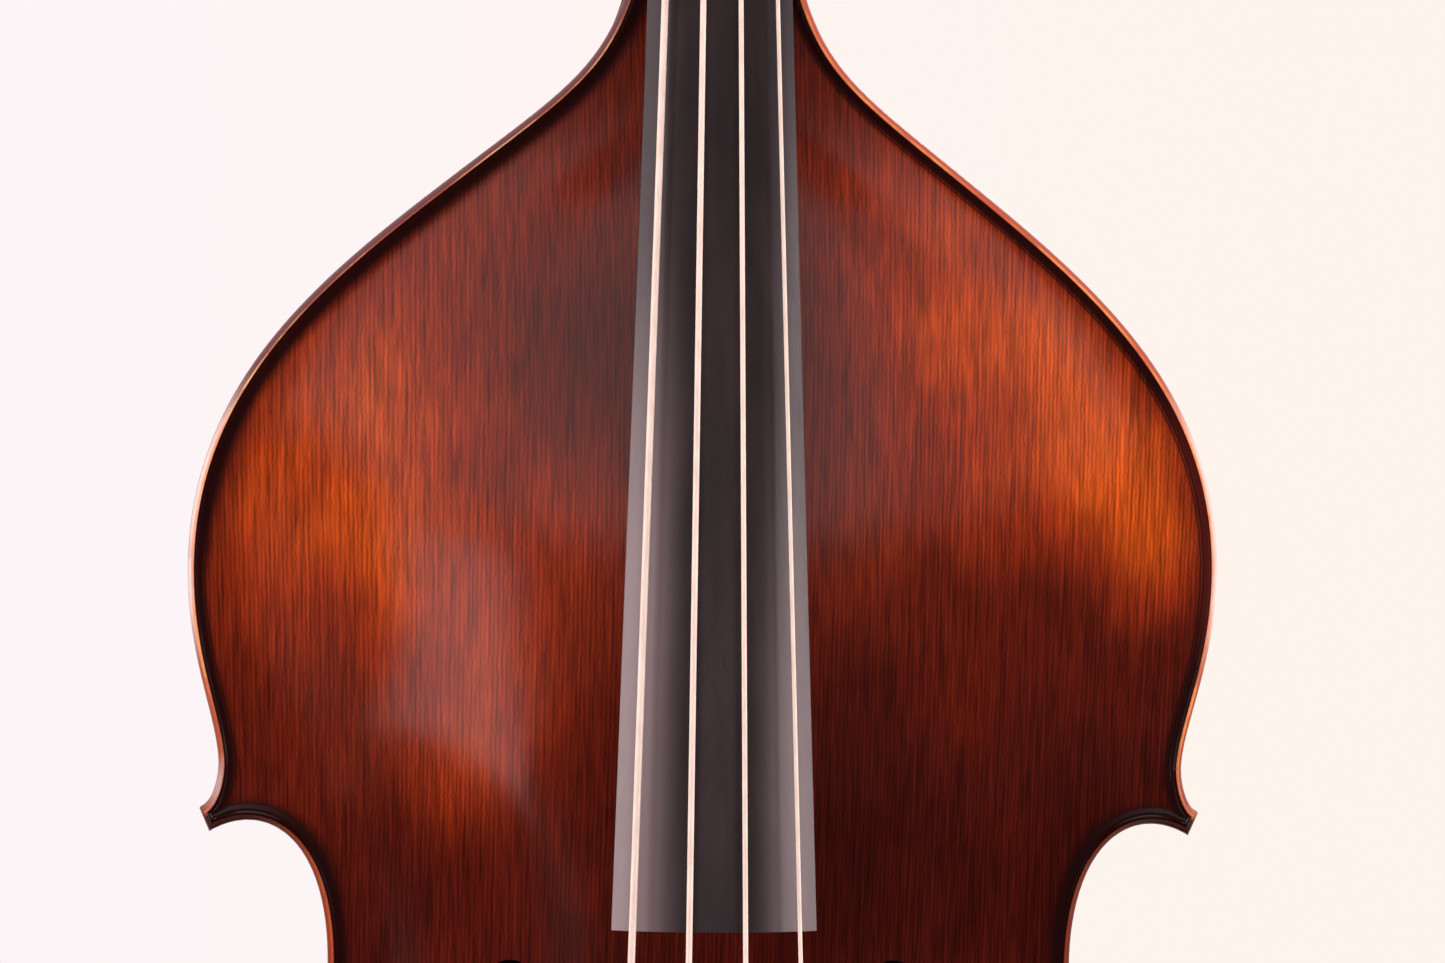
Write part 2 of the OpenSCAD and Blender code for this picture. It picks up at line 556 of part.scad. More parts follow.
// half of the front view: shoulders at the nut, straight cheeks, narrowing into the scroll
pegbox_front = concat([[17, -9]],
  bez_pts([[20.5, -4], [22.3, 4], [pegbox_w/2, 6], [pegbox_w/2, 22]], 6, 0),
  bez_pts([[pegbox_w/2, 190], [pegbox_w/2, 212], [18.4, 216], [18.2, 240]], 7, 0));
module pegbox_solid() difference() {
  intersection() {
    side(-60, 60) polygon(pegbox_side);
    rotate([90, 0, 0]) translate([0, 0, -100]) linear_extrude(200) polygon(concat(pegbox_front,
      [for (i = [len(pegbox_front)-1:-1:0]) [-pegbox_front[i][0], pegbox_front[i][1]]]));
  }
  // the slot the rollers stand in
  translate([-pegbox_slot/2, -10, 14]) cube([pegbox_slot, 58, 172]);
}
journal_r = 5;
module neck() color([0.43, 0.17, 0.08]) difference() {
  union() {
    loft(concat([for (z = slice_z) slice(top_z + z)],
      [for (z = [top_z + 240, nut_z - 30, nut_z + 1]) slice(z)]));
    // tenon in the neck block
    between() slab(y_f, y_b0) intersection() {
      tenon_2d(0);
      translate([-50, 0]) square([100, body_length]);
    }
    slab(y_f - 12, y_f + 1) intersection() {
      tenon_2d(0);
      translate([-50, 0]) square([100, body_length]);
    }
    neck_frame() pegbox_solid();
    neck_frame() scroll();
  }
  for (i = [0:3]) at_tuner(i) {
    rotate([0, 90, 0]) cylinder(r = journal_r + run_fit, h = 100, center = true);
    plate_holes(1.5 + seat, 9);
  }
}

// strings: a tube swept along its own path
function turn_to(e, t) = unit(e - (e*t)*t);
function tangents(p) = [for (i = [0:len(p)-1])
  unit(p[min(i+1, len(p)-1)] - p[max(i-1, 0)])];
function frames(t, e0) = [for (i = 0, e = turn_to(e0, t[0]); i < len(t);
  i = i + 1, e = i < len(t) ? turn_to(e, t[i]) : e) e];
module tube(p, r, sides, e0) {
  t = tangents(p);
  e = frames(t, e0);
  loft([for (i = [0:len(p)-1]) let (b = cross(t[i], e[i]))
    [for (k = [0:sides-1]) p[i] + r*(cos(360*k/sides)*e[i] + sin(360*k/sides)*b)]]);
}
// tail frame: origin at the bridge crown, Z up the line of the tailpiece
wire_d = 3;
saddle_top = [0, y_f - 22 - wire_d/2 - 0.3, body_z + 8];
tail_a = atan((saddle_top[1] - crown[1])/(crown[2] - saddle_top[2]));
module tail_frame() translate(crown) rotate([tail_a, 0, 0]) children();
function from_tail(p) = crown + [p[0], p[1]*cos(tail_a) - p[2]*sin(tail_a),
  p[1]*sin(tail_a) + p[2]*cos(tail_a)];
tail_z = -128;
tail_len = 330;
tail_r = 60;
tail_x = [-31, -10.5, 10.5, 31];
tail_crown = -6;
tail_under = 15;
ball_r = 5;
function tail_y(i) = tail_crown + sag(tail_x[i], tail_r) - string_d[i]/2 - 0.3;
// straight part of each string, from the ball to the roller
function string_run(i) = let (x = tail_x[i], y = tail_y(i), a = drop_a(i), n = nut_pt(i),
  l = sqrt(pow(roller_y[i] - n[1], 2) + pow(roller_z(i), 2) - pow(wind_r(i), 2)))
  concat([from_tail([x, tail_under + 0.2, tail_z - 21]), from_tail([x, 9, tail_z - 20.5]),
    from_tail([x, y + 3, tail_z - 17]), from_tail([x, y, tail_z - 9]),
    from_tail([x, y, tail_z + 2]), bridge_pt(i), from_neck(n)],
    [for (s = [0.5, 0.96]) from_neck([n[0] + s*(wind_x[i] - n[0]), n[1] + s*l*sin(a), s*l*cos(a)])]);
// loops on the roller, ending in a short straight
function string_wind(i) = let (r = wind_r(i), a0 = 180 - drop_a(i), p = string_d[i] + wind_gap,
  n = 24*wind_turns, f = function(k) let (a = a0 - 15*k)
    [wind_x[i] + wind_dir[i]*p*k/24, roller_y[i] + r*cos(a), roller_z(i) + r*sin(a)])
  concat([for (k = [0:n]) from_neck(f(k))],
    [let (u = unit(f(n) - f(n-1))) from_neck(f(n) + 1.2*string_d[i]*u)]);
module string(i) color([0.93, 0.84, 0.76])
  tube(concat(string_run(i), string_wind(i)), string_d[i]/2, 6, [1, 0, 0]);
module string_e() string(0);
module string_a() string(1);
module string_d_() string(2);
module string_g() string(3);
// least room between neighbouring loops, measured on the path
function self_gap(i) = let (w = string_wind(i)) min([for (a = [0:24*wind_turns-13])
  for (b = [a+13:24*wind_turns]) norm(w[a] - w[b])]) - string_d[i];
echo(winding_gaps = [for (i = [0:3]) self_gap(i)]);

module string_balls() color([0.8, 0.66, 0.3]) for (i = [0:3])
  tail_frame() translate([tail_x[i], tail_under + 0.3 + ball_r, tail_z - 21]) sphere(ball_r);

// tailpiece
module tailpiece() color([0.07, 0.06, 0.06]) tail_frame() difference() {
  intersection() {
    translate([0, 0, tail_z]) rotate([90, 0, 0]) linear_extrude(80, center = true) polygon([
      [-40, 0], [-42, -8], [-34, -120], [-25.5, -250], [-24, -tail_len + 10], [-17, -tail_len],
      [17, -tail_len], [24, -tail_len + 10], [25.5, -250], [34, -120], [42, -8], [40, 0]]);
    translate([0, tail_crown + tail_r, tail_z - tail_len - 20]) cylinder(r = tail_r, h = tail_len + 40);
    translate([0, 0, tail_z]) side(-60, 60) polygon([[tail_crown + 2, 1], [tail_under - 1, 1],
      [tail_under, -4], [tail_under - 5, -tail_len - 1], [tail_crown + 4, -tail_len - 1],
      [tail_crown - 1, -tail_len + 14], [tail_crown - 1, -4]]);
  }
  for (i = [0:3]) {
    translate([tail_x[i] - string_d[i]/2 - 0.5, -50, tail_z - 24]) cube([string_d[i] + 1, 100, 18]);
    translate([tail_x[i], 0, tail_z - 28]) rotate([90, 0, 0])
      cylinder(r = ball_r + 1, h = 100, center = true);
  }
  // two holes that take the tail wire
  for (s = [-1, 1]) translate([s*wire_x, wire_y, tail_z - tail_len - 10])
    cylinder(d = wire_d + 0.4, h = 46, $fn = 24);
}
wire_x = 11;
wire_y = 2;

// tail wire: from one tailpiece hole round the endpin neck to the other
collar_neck_r = 13;
wire_loop_r = collar_neck_r + wire_d/2 + 0.3;
wire_z = body_z - neck_drop/2;
wire_half = concat(
  [from_tail([wire_x, wire_y, tail_z - tail_len + 30]),
   from_tail([wire_x, wire_y, tail_z - tail_len + 2]),
   from_tail([wire_x, wire_y, tail_z - tail_len - 20])],
  [[wire_x + 0.5, saddle_top[1] - 0.2, saddle_top[2] + 3],
   [wire_x + 0.5, saddle_top[1] + 0.5, body_z + 2],
   [wire_x + 0.7, saddle_top[1] + 3, body_z - 2.2], [wire_x + 1, saddle_top[1] + 8, body_z - 4.6],
   [wire_x + 1.5, saddle_top[1] + 16, wire_z], [wire_loop_r, -20, wire_z], [wire_loop_r, -8, wire_z]],
  [for (a = [0:15:75]) [wire_loop_r*cos(a), wire_loop_r*sin(a), wire_z]]);
wire_path = concat(wire_half, [[0, wire_loop_r, wire_z]],
  [for (i = [len(wire_half)-1:-1:0]) [-wire_half[i][0], wire_half[i][1], wire_half[i][2]]]);
module tail_wire() color([0.7, 0.7, 0.72]) tube(wire_path, wire_d/2, 8, [1, 0, 0]);

// saddle
module saddle() color([0.06, 0.055, 0.055]) side(-saddle_w/2, saddle_w/2) polygon([
  [y_f - seat, body_z - 0.5], [y_f - seat, body_z + saddle_d], [y_f - 14, body_z + saddle_d],
  [y_f - 20, body_z + saddle_d - 3], [y_f - 22, body_z + 9], [y_f - 22, body_z + 5],
  [y_f - 20, body_z + 1], [y_f - 16, body_z - 0.5]]);

// bridge: front view outline as half width and height above the rib plane
foot_xb = arch_x(bridge_y);
foot_table = [for (k = [0:cols]) [col_x(k), channel_h
  + top_arch*arch_share(col_x(k)*foot_xb, bridge_y, foot_xb)]];
function foot_h(x) = lookup(x/foot_xb, foot_table) + foot_room;
foot_room = 0.35;
bridge_half_w = 52;
bridge_foot = [34, 78];
module bridge_2d() {
  h = crown_h;
  k = bridge_h/160;
  top_line = [for (j = [0:6]) let (x = bridge_half_w*j/6) [x, h - sag(x, bridge_r)]];
  arm = bez_pts([[54, h - 27*k], [55, h - 34*k], [46, h - 52*k], [42, h - 68*k]], 5, 0);
  wing = bez_pts([[42, h - 68*k], [40, h - 78*k], [64, h - 78*k], [66, h - 92*k]], 6, 1);
  hip = bez_pts([[66, h - 92*k], [67, h - 102*k], [56, h - 100*k], [56, h - 108*k]], 4, 1);
  leg = bez_pts([[56, h - 108*k], [58, h - 130*k], [72, h - 150*k],
    [bridge_foot[1], foot_h(bridge_foot[1]) + 9]], 5, 1);
  sole = [for (x = [bridge_foot[1], 66, 50, bridge_foot[0]]) [x, foot_h(x)]];
  gate = bez_pts([[bridge_foot[0], foot_h(bridge_foot[0]) + 9], [40, h - 140*k], [30, h - 112*k],
    [0, h - 110*k]], 7, 0);
  half_b = concat(top_line, arm, wing, hip, leg, sole, gate);
  n = len(half_b);
  difference() {
    polygon([for (p = concat(half_b, [for (i = [n-2:-1:1]) [-half_b[i][0], half_b[i][1]]]))
      [p[0], y_f - p[1]]]);
    // heart and side openings
    translate([0, y_f - h + 62*k]) circle(11*k);
    translate([0, y_f - h + 74*k]) circle(8*k);
    for (s = [-1, 1]) {
      translate([s*34, y_f - h + 88*k]) circle(9.5*k);
      translate([s*44, y_f - h + 91*k]) circle(5.5*k);
    }
  }
}
module bridge() color([0.8, 0.62, 0.4]) difference() {
  intersection() {
    translate([0, 0, crown[2] - 10]) linear_extrude(20) bridge_2d();
    side(-90, 90) polygon([[y_f, crown[2] - 10], [crown[1] - 1, crown[2] - 3],
      [crown[1] - 1, crown[2] + 3], [y_f, crown[2] + 10]]);
  }
  for (i = [0:3]) translate(bridge_pt(i)) {
    rotate([-neck_a, 0, 0]) cylinder(d = string_d[i] + 0.4, h = 12, $fn = 24);
    rotate([180 + tail_a + 3, 0, 0]) cylinder(d = string_d[i] + 1, h = 12, $fn = 24);
    sphere(d = string_d[i] + 0.5, $fn = 24);
  }
}

// endpin
collar_r = 12;
module endpin_plug() color([0.06, 0.055, 0.055]) difference() {
  union() {
    translate([0, 0, body_z + overhang - seat]) cylinder(r = plug_r, h = block_h);
    translate([0, 0, body_z - neck_drop]) cylinder(r = collar_neck_r, h = neck_drop + overhang);
    translate([0, 0, endpin_out + collar_h]) rotate_extrude()
      polygon([[0, 0], [collar_r + 4, 0], [20, 4], [20, flange_h], [0, flange_h]]);
  }
  translate([0, 0, endpin_out]) cylinder(d = rod_d + 2*run_fit, h = 200);
}
module endpin_collar() color([0.72, 0.72, 0.74]) difference() {
  translate([0, 0, endpin_out]) rotate_extrude() polygon([[rod_d/2 + run_fit, 0], [collar_r - 1.5, 0],
    [collar_r, 1.5], [collar_r, collar_h - seat], [rod_d/2 + run_fit, collar_h - seat]]);
  translate([0, 0, endpin_out + collar_h/2]) rotate([0, 90, 0]) cylinder(r = screw_r + run_fit, h = 40);
}
screw_r = 3;
module thumb_screw() color([0.75, 0.75, 0.77])
  translate([0, 0, endpin_out + collar_h/2]) rotate([0, 90, 0]) {
  translate([0, 0, rod_d/2 + run_fit]) cylinder(r = screw_r, h = 16);
  translate([0, 0, collar_r + 4]) cylinder(r = 5, h = 4);
  translate([0, 0, collar_r + 8]) difference() {
    cylinder(r = 9, h = 9);
    for (a = [0:30:330]) rotate(a) translate([9.8, 0, -1]) cylinder(r = 1.6, h = 12, $fn = 16);
  }
}
foot_top = 30;
module endpin_rod() color([0.75, 0.75, 0.77]) translate([0, 0, 12]) cylinder(d = rod_d, h = rod_length);
module endpin_foot() color([0.08, 0.08, 0.08]) difference() {
  rotate_extrude() polygon([[0, 0], [10, 0], [12, 2], [12, 8], [9, 22], [8, foot_top], [0, foot_top]]);
  translate([0, 0, 12 - seat]) cylinder(d = rod_d + 2*seat, h = 100);
}

// tuning machines. Machine frame: roller axis along X, gear on the -X side,
// worm above it with its key to the back; turned over for the treble side.
module at_tuner(i) neck_frame() translate([0, roller_y[i], roller_z(i)])
  rotate([0, tuner_side[i] < 0 ? 0 : 180, 0]) children();
cheek_x = pegbox_w/2;
base_t = 2.5;
boss_h = 3.2;
gear_t = 6;
gear_x = cheek_x + base_t + boss_h + 0.3;
gear_pr = gear_module*gear_teeth/2;
worm_pr = 4.8;
worm_lead = PI*gear_module;
worm_len = 19.2;
worm_tip = worm_pr + 0.9*gear_module;
worm_root = worm_pr - 1.2*gear_module;
axis_d = gear_pr + worm_pr;
worm_x = gear_x + gear_t/2;
square_w = 7;
key_sq = 3.6;
pin_r = 1.75;
key_r = 3;
screw_at = [[-13, -15], [13, -15], [-13, axis_d + 9], [13, axis_d + 9]];
// screw holes in a cheek or plate, seen from the machine frame
module plate_holes(r, depth) for (q = screw_at)
  translate([-cheek_x + depth, q[0], q[1]]) rotate([0, -90, 0]) cylinder(r = r, h = depth + 20);
module tuner_plate(i) color([0.72, 0.55, 0.24]) at_tuner(i) difference() {
  union() {
    translate([-cheek_x - base_t, 0, 0]) rotate([90, 0, 90]) linear_extrude(base_t - seat)
      polygon([[-17, -17], [-15, -19], [15, -19], [17, -17], [17, axis_d + 11], [15, axis_d + 13],
        [-15, axis_d + 13], [-17, axis_d + 11]]);
    translate([-cheek_x - 1, 0, 0]) rotate([0, -90, 0]) cylinder(r = 8, h = base_t - 1 + boss_h);
    for (y = [-14.3, 10]) translate([-worm_x - 5, y, axis_d - 5])
      cube([worm_x + 5 - cheek_x - 1, 4.3, 10]);
  }
  translate([-cheek_x - 20, 0, 0]) rotate([0, 90, 0]) cylinder(r = journal_r + run_fit, h = 40);
  translate([-worm_x, -30, axis_d]) rotate([-90, 0, 0]) cylinder(r = pin_r + run_fit, h = 25);
  translate([-worm_x, 5, axis_d]) rotate([-90, 0, 0]) cylinder(r = key_r + run_fit, h = 25);
  plate_holes(1.5 + seat, 0);
}
// worm: ten faces round, ten rings to each turn of the thread
worm_sides = 10;
worm_dy = worm_lead/worm_sides;
worm_rings = 2*floor(worm_len/2/worm_dy);
function thread_r(k, i) = let (m = worm_rings/2, h = k - m,
  ph = (h - i + 10*worm_sides + 2.5) % worm_sides, d = abs(ph - 5),
  f = min(1, max(0, (m - abs(h) - 1)/6)),
  r = d <= 1 ? worm_tip : d >= 3 ? worm_root : worm_tip + (worm_root - worm_tip)*(d - 1)/2)
  worm_root + f*(r - worm_root);
module worm_thread() {
  s = worm_sides;
  n = worm_rings;
  pts = [for (k = [0:n]) for (i = [0:s-1]) let (a = 360*i/s, r = thread_r(k, i))
    [r*cos(a), (k - n/2)*worm_dy, r*sin(a)]];
  polyhedron(pts, concat([[for (i = [s-1:-1:0]) i]],
    [for (k = [0:n-1]) for (i = [0:s-1]) let (j = (i+1) % s)
      for (f = [[k*s+j, (k+1)*s+j, k*s+i], [(k+1)*s+j, (k+1)*s+i, k*s+i]]) f],
    [[for (i = [0:s-1]) n*s + i]]), convexity = 8);
}
module worm(i) color([0.78, 0.6, 0.28]) at_tuner(i) translate([-worm_x, 0, axis_d]) difference() {
  worm_thread();
  translate([-key_sq/2, -20, -key_sq/2]) cube([key_sq, 40, key_sq]);
}
module key(i) color([0.76, 0.6, 0.3]) at_tuner(i) translate([-worm_x, 0, axis_d]) {
  q = key_sq - 2*seat;
  translate([-q/2, -9.9, -q/2]) cube([q, 20, q]);
  translate([0, -16, 0]) rotate([-90, 0, 0]) cylinder(r = pin_r, h = 7);
  translate([0, 9.95, 0]) rotate([-90, 0, 0]) cylinder(r = key_r, h = 44);
  translate([0, 14.8, 0]) rotate([-90, 0, 0]) cylinder(r = 4.5, h = 33);
  translate([-2.5, 0, 0]) rotate([90, 0, 90]) linear_extrude(5) {
    for (s = [-1, 1]) translate([60, s*11]) circle(11);
    translate([76, 0]) circle(12);
    translate([45, -4]) square([24, 8]);
  }
}
gear_tip = gear_pr + 0.9*gear_module;
gear_root = gear_pr - 1.25*gear_module;
gear_thick = gear_module*PI/2 - 0.3;
gear_twist = gear_t*worm_lead/(2*PI*worm_pr)/gear_pr*180/PI;
tooth_tip = (gear_thick/2 - 0.33*gear_module)/gear_tip*180/PI;
tooth_root = (gear_thick/2 + 0.46*gear_module)/gear_root*180/PI;
module gear(i) color([0.78, 0.6, 0.28]) at_tuner(i) translate([-worm_x, 0, 0]) difference() {
  rotate([90, 0, 90]) linear_extrude(gear_t, center = true, twist = gear_twist, slices = 1)
    rotate(gear_twist/2) polygon([for (j = [0:gear_teeth-1]) let (a = 90 + (j + 0.5)*360/gear_teeth)
      for (q = [[-tooth_root, gear_root], [-tooth_tip, gear_tip], [tooth_tip, gear_tip],
        [tooth_root, gear_root]]) q[1]*[cos(a + q[0]), sin(a + q[0])]]);
  translate([-20, -square_w/2 - seat, -square_w/2 - seat])
    cube([40, square_w + 2*seat, square_w + 2*seat]);
}
module roller(i) color([0.72, 0.58, 0.3]) at_tuner(i) difference() {
  union() {
    translate([-pegbox_slot/2 + 0.5, 0, 0]) rotate([0, 90, 0])
      cylinder(r = barrel_r, h = pegbox_slot - 1);
    translate([-gear_x, 0, 0]) rotate([0, 90, 0]) cylinder(r = journal_r, h = gear_x + cheek_x - 1);
    translate([-gear_x - gear_t + 0.3, -square_w/2, -square_w/2]) cube([10, square_w, square_w]);
  }
  translate([-gear_x - gear_t - 1, 0, 0]) rotate([0, 90, 0]) cylinder(r = 2 + seat, h = 15);
}
module gear_screw(i) color([0.7, 0.7, 0.7]) at_tuner(i) translate([-gear_x - gear_t - seat, 0, 0]) {
  rotate([0, 90, 0]) cylinder(r = 2, h = 13);
  difference() {
    rotate([0, -90, 0]) cylinder(r1 = 6, r2 = 5, h = 2.5);
    translate([-4, -0.6, -8]) cube([3, 1.2, 16]);
  }
}
module plate_screws() color([0.75, 0.6, 0.3]) for (i = [0:3]) at_tuner(i) for (q = screw_at)
  translate([-cheek_x - base_t - seat, q[0], q[1]]) {
    rotate([0, 90, 0]) cylinder(r = 1.5, h = 10);
    difference() {
      rotate([0, -90, 0]) cylinder(r1 = 3, r2 = 2.2, h = 1.6);
      translate([-3, -0.4, -4]) cube([2.2, 0.8, 8]);
    }
  }
module tuner_plate_e() tuner_plate(0);
module tuner_plate_a() tuner_plate(1);
module tuner_plate_d() tuner_plate(2);
module tuner_plate_g() tuner_plate(3);
module worm_e() worm(0);
module worm_a() worm(1);
module worm_d() worm(2);
module worm_g() worm(3);
module key_e() key(0);
module key_a() key(1);
module key_d() key(2);
module key_g() key(3);
module gear_e() gear(0);
module gear_a() gear(1);
module gear_d() gear(2);
module gear_g() gear(3);
module roller_e() roller(0);
module roller_a() roller(1);
module roller_d() roller(2);
module roller_g() roller(3);
module gear_screw_e() gear_screw(0);
module gear_screw_a() gear_screw(1);
module gear_screw_d() gear_screw(2);
module gear_screw_g() gear_screw(3);

top_plate();
back_plate();
upper_rib_bass();
upper_rib_treble();
centre_rib_bass();
centre_rib_treble();
lower_rib_bass();
lower_rib_treble();
neck_block();
end_block();
corner_blocks();
front_linings();
back_linings();
bass_bar();
sound_post();
neck();
fingerboard();
nut();
saddle();
bridge();
tailpiece();
tail_wire();
string_e();
string_a();
string_d_();  // string_d
string_g();
string_balls();
endpin_plug();
endpin_collar();
thumb_screw();
endpin_rod();
endpin_foot();
tuner_plate_e();
tuner_plate_a();
tuner_plate_d();
tuner_plate_g();
worm_e();
worm_a();
worm_d();
worm_g();
key_e();
key_a();
key_d();
key_g();
gear_e();
gear_a();
gear_d();
gear_g();
roller_e();
roller_a();
roller_d();
roller_g();
gear_screw_e();
gear_screw_a();
gear_screw_d();
gear_screw_g();
plate_screws();
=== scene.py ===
import bmesh
import bpy
import math
import numpy as np
from mathutils import Matrix, Vector
from mathutils.geometry import delaunay_2d_cdt
from mathutils.kdtree import KDTree


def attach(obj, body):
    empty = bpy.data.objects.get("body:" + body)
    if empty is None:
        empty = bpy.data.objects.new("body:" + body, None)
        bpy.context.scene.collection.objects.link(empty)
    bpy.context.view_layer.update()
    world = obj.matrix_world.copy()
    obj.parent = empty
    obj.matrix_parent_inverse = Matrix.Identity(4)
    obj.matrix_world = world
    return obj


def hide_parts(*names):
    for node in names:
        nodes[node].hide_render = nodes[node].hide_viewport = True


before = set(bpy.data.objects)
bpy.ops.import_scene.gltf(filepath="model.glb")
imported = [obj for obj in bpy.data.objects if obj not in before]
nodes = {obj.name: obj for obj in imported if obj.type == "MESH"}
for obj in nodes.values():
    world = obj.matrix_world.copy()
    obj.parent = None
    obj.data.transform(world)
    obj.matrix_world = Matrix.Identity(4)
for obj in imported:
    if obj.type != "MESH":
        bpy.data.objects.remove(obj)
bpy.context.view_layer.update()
scene = bpy.context.scene

# millimetres to metres
MM = 0.001

# Sizes of the CAD part, in millimetres.
LENGTH = 1115.0
LOW_X = 332.0
MID_X = 189.0
UP_X = 258.5
BODY_Z = 190.0
TOP_Z = 1305.0
Y_FRONT = -102.5
Y_BACK_LOW = 102.5
Y_BACK_HIGH = 69.5
LEAN = math.atan((Y_BACK_LOW - Y_BACK_HIGH)/LENGTH)
INSET = 20.0
PLATE = 8.0
TOP_RISE = 28
BACK_RISE = 24
NECK_X = 38.0
BUTTON_R = 24.0
BUTTON_ROOT_X = 30.0

# How finely the plates are drawn, in millimetres and points.
EDGE_STEP = 2.4
TIP_STEP = 1.5
CURVE_POINTS = 160
ARCH_POINTS = 60
TOP_GRID = 5.0
BACK_GRID = 6.0
# spacing of the points that measure the distance to the edge, and the slack of that distance
EDGE_SAMPLE = 0.25
EDGE_SLACK = 0.06
# room without other points round the sound holes
HOLE_ROOM = 1.6
# distance to the edge that the inner side of a plate gets, so that it shows no bead
INNER_GAP = 60.0


def vec(*values):
    return np.array(values, float)


# Outline of the plates: the same curves as the CAD, finely sampled.
def bez(p, n):
    """Points on a Bezier curve with four control points."""
    t = np.linspace(0, 1, n + 1)[:, None]
    p = np.asarray(p, float)
    return (1-t)**3*p[0] + 3*(1-t)**2*t*p[1] + 3*(1-t)*t*t*p[2] + t**3*p[3]


def ray(degrees):
    """Direction in the plane of a plate, by its angle from straight down."""
    a = math.radians(degrees)
    return vec(math.sin(a), -math.cos(a))


def chain(*parts):
    """One line from several, each of which starts where the last one ends."""
    out = [parts[0]]
    for p in parts[1:]:
        out.append(p[1:])
    return np.concatenate(out)


def resample(p, step):
    """The same line with evenly spaced points."""
    run = np.concatenate([[0], np.cumsum(np.linalg.norm(np.diff(p, axis=0), axis=1))])
    n = max(2, int(round(run[-1] / step)))
    s = np.linspace(0, run[-1], n + 1)
    return np.stack([np.interp(s, run, p[:, k]) for k in range(p.shape[1])], axis=1)


# heights of the lower bouts, the waist and the upper bouts, then of the lower and upper corners
low_z, mid_z, up_z = 0.215*LENGTH, 0.5436*LENGTH, 0.721*LENGTH
cl_z, cu_z = 0.415*LENGTH, 0.6135*LENGTH
# the corner points lie at fixed steps from the bouts, as in the CAD
tip_l1, tip_l2 = vec(LOW_X - 60.5, cl_z), vec(LOW_X - 64, cl_z + 12)
tip_u1, tip_u2 = vec(UP_X - 10.3, cu_z - 11.8), vec(UP_X - 5.4, cu_z)
waist_l, waist_u = vec(LOW_X - 68, cl_z - 22), vec(UP_X - 14.9, cu_z + 23)
shoulder = vec(UP_X*0.487, LENGTH - 111)
SHOULDER_A = 52
CURVES_LOW = [
    [vec(0, 0), vec(0.6*LOW_X, 0), vec(LOW_X, 0.42*low_z), vec(LOW_X, low_z)],
    [vec(LOW_X, low_z), vec(LOW_X, low_z + 95), waist_l - vec(0, 42), waist_l],
    [waist_l, waist_l + vec(0, 8), tip_l1 - vec(5, 6), tip_l1]]
CURVES_MID = [
    [tip_l2, tip_l2 - vec(70, 18), vec(MID_X, mid_z - 75), vec(MID_X, mid_z)],
    [vec(MID_X, mid_z), vec(MID_X, mid_z + 64), tip_u1 + vec(-28, 17), tip_u1]]
CURVES_UP = [
    [tip_u2, tip_u2 + vec(-7, 3), waist_u - vec(0, 6), waist_u],
    [waist_u, waist_u + vec(0, 22), vec(UP_X, up_z - 45), vec(UP_X, up_z)],
    [vec(UP_X, up_z), vec(UP_X, up_z + 96), shoulder + 83*ray(SHOULDER_A), shoulder],
    [shoulder, shoulder - 75*ray(SHOULDER_A), vec(NECK_X, LENGTH) + 58*ray(13), vec(NECK_X, LENGTH)]]


def plate_loop(button):
    """Closed outline of a plate: up the right side, across the top and down the left side."""
    def sampled(curves):
        return resample(chain(*[bez(c, CURVE_POINTS) for c in curves]), EDGE_STEP)
    right = chain(
        sampled(CURVES_LOW), resample(np.stack([tip_l1, tip_l2]), TIP_STEP), sampled(CURVES_MID),
        resample(np.stack([tip_u1, tip_u2]), TIP_STEP), sampled(CURVES_UP))
    if button:
        a = np.radians(np.arange(0, 181, 4))
        top = np.stack([BUTTON_R*np.cos(a), LENGTH + BUTTON_R*np.sin(a)], axis=1)
        top = np.concatenate([[[BUTTON_ROOT_X, LENGTH]], top, [[-BUTTON_ROOT_X, LENGTH]]])
    else:
        top = np.stack([np.linspace(NECK_X, -NECK_X, 32)[1:-1], np.full(30, LENGTH)], axis=1)
    left = right[:0:-1]*vec(-1, 1)
    return np.concatenate([right, top, left])


# Arch of the plates: an inner line that passes the corners by, and the rise inside it.
low_x, mid_x, up_x = LOW_X - INSET, MID_X - INSET, UP_X - INSET
arch_low, arch_mid, arch_up = vec(low_x, low_z), vec(mid_x, mid_z), vec(up_x, up_z)
slant = math.radians(SHOULDER_A)
arch_shoulder = shoulder - INSET*vec(math.cos(slant), math.sin(slant))
arch_neck = vec(18, LENGTH - INSET)
ARCH = chain(
    bez([vec(0, INSET), vec(0.56*LOW_X, INSET), vec(low_x, 0.45*low_z), arch_low], ARCH_POINTS),
    bez([arch_low, arch_low + vec(0, 160), arch_mid - vec(0, 150), arch_mid], ARCH_POINTS),
    bez([arch_mid, arch_mid + vec(0, 90), arch_up - vec(0, 90), arch_up], ARCH_POINTS),
    bez([arch_up, arch_up + vec(0, 90), arch_shoulder + 52*ray(SHOULDER_A), arch_shoulder], ARCH_POINTS),
    bez([arch_shoulder, arch_shoulder - 30*ray(SHOULDER_A), arch_neck + 55*ray(12), arch_neck], ARCH_POINTS))


def arch_share(x, z):
    """Share of the arch's height at a place: nothing at the edge, one in the middle."""
    xb = np.maximum(1, np.interp(z, ARCH[:, 1], ARCH[:, 0]))
    v = np.clip((z - INSET)/(LENGTH - 2*INSET), 0, 1)
    u = np.minimum(1, np.abs(x)/xb)
    return (1 - np.abs(2*v - 1)**3)**1.5*(0.5 + 0.5*np.cos(math.pi*u))**0.75


# Edge section: distance in from the edge and height, for a rounded bead and then a hollow channel.
EDGE = np.array([
    (0, 4), (0.3, 5.4), (0.8, 6.8), (1.4, 7.8), (2.1, 8.6), (2.8, 9.05), (3.2, 9.15), (3.5, 8.95),
    (3.8, 8.2), (4.3, 7.2), (5.2, 6.5), (7, 6.0), (9, 5.7), (13, 5.5)])
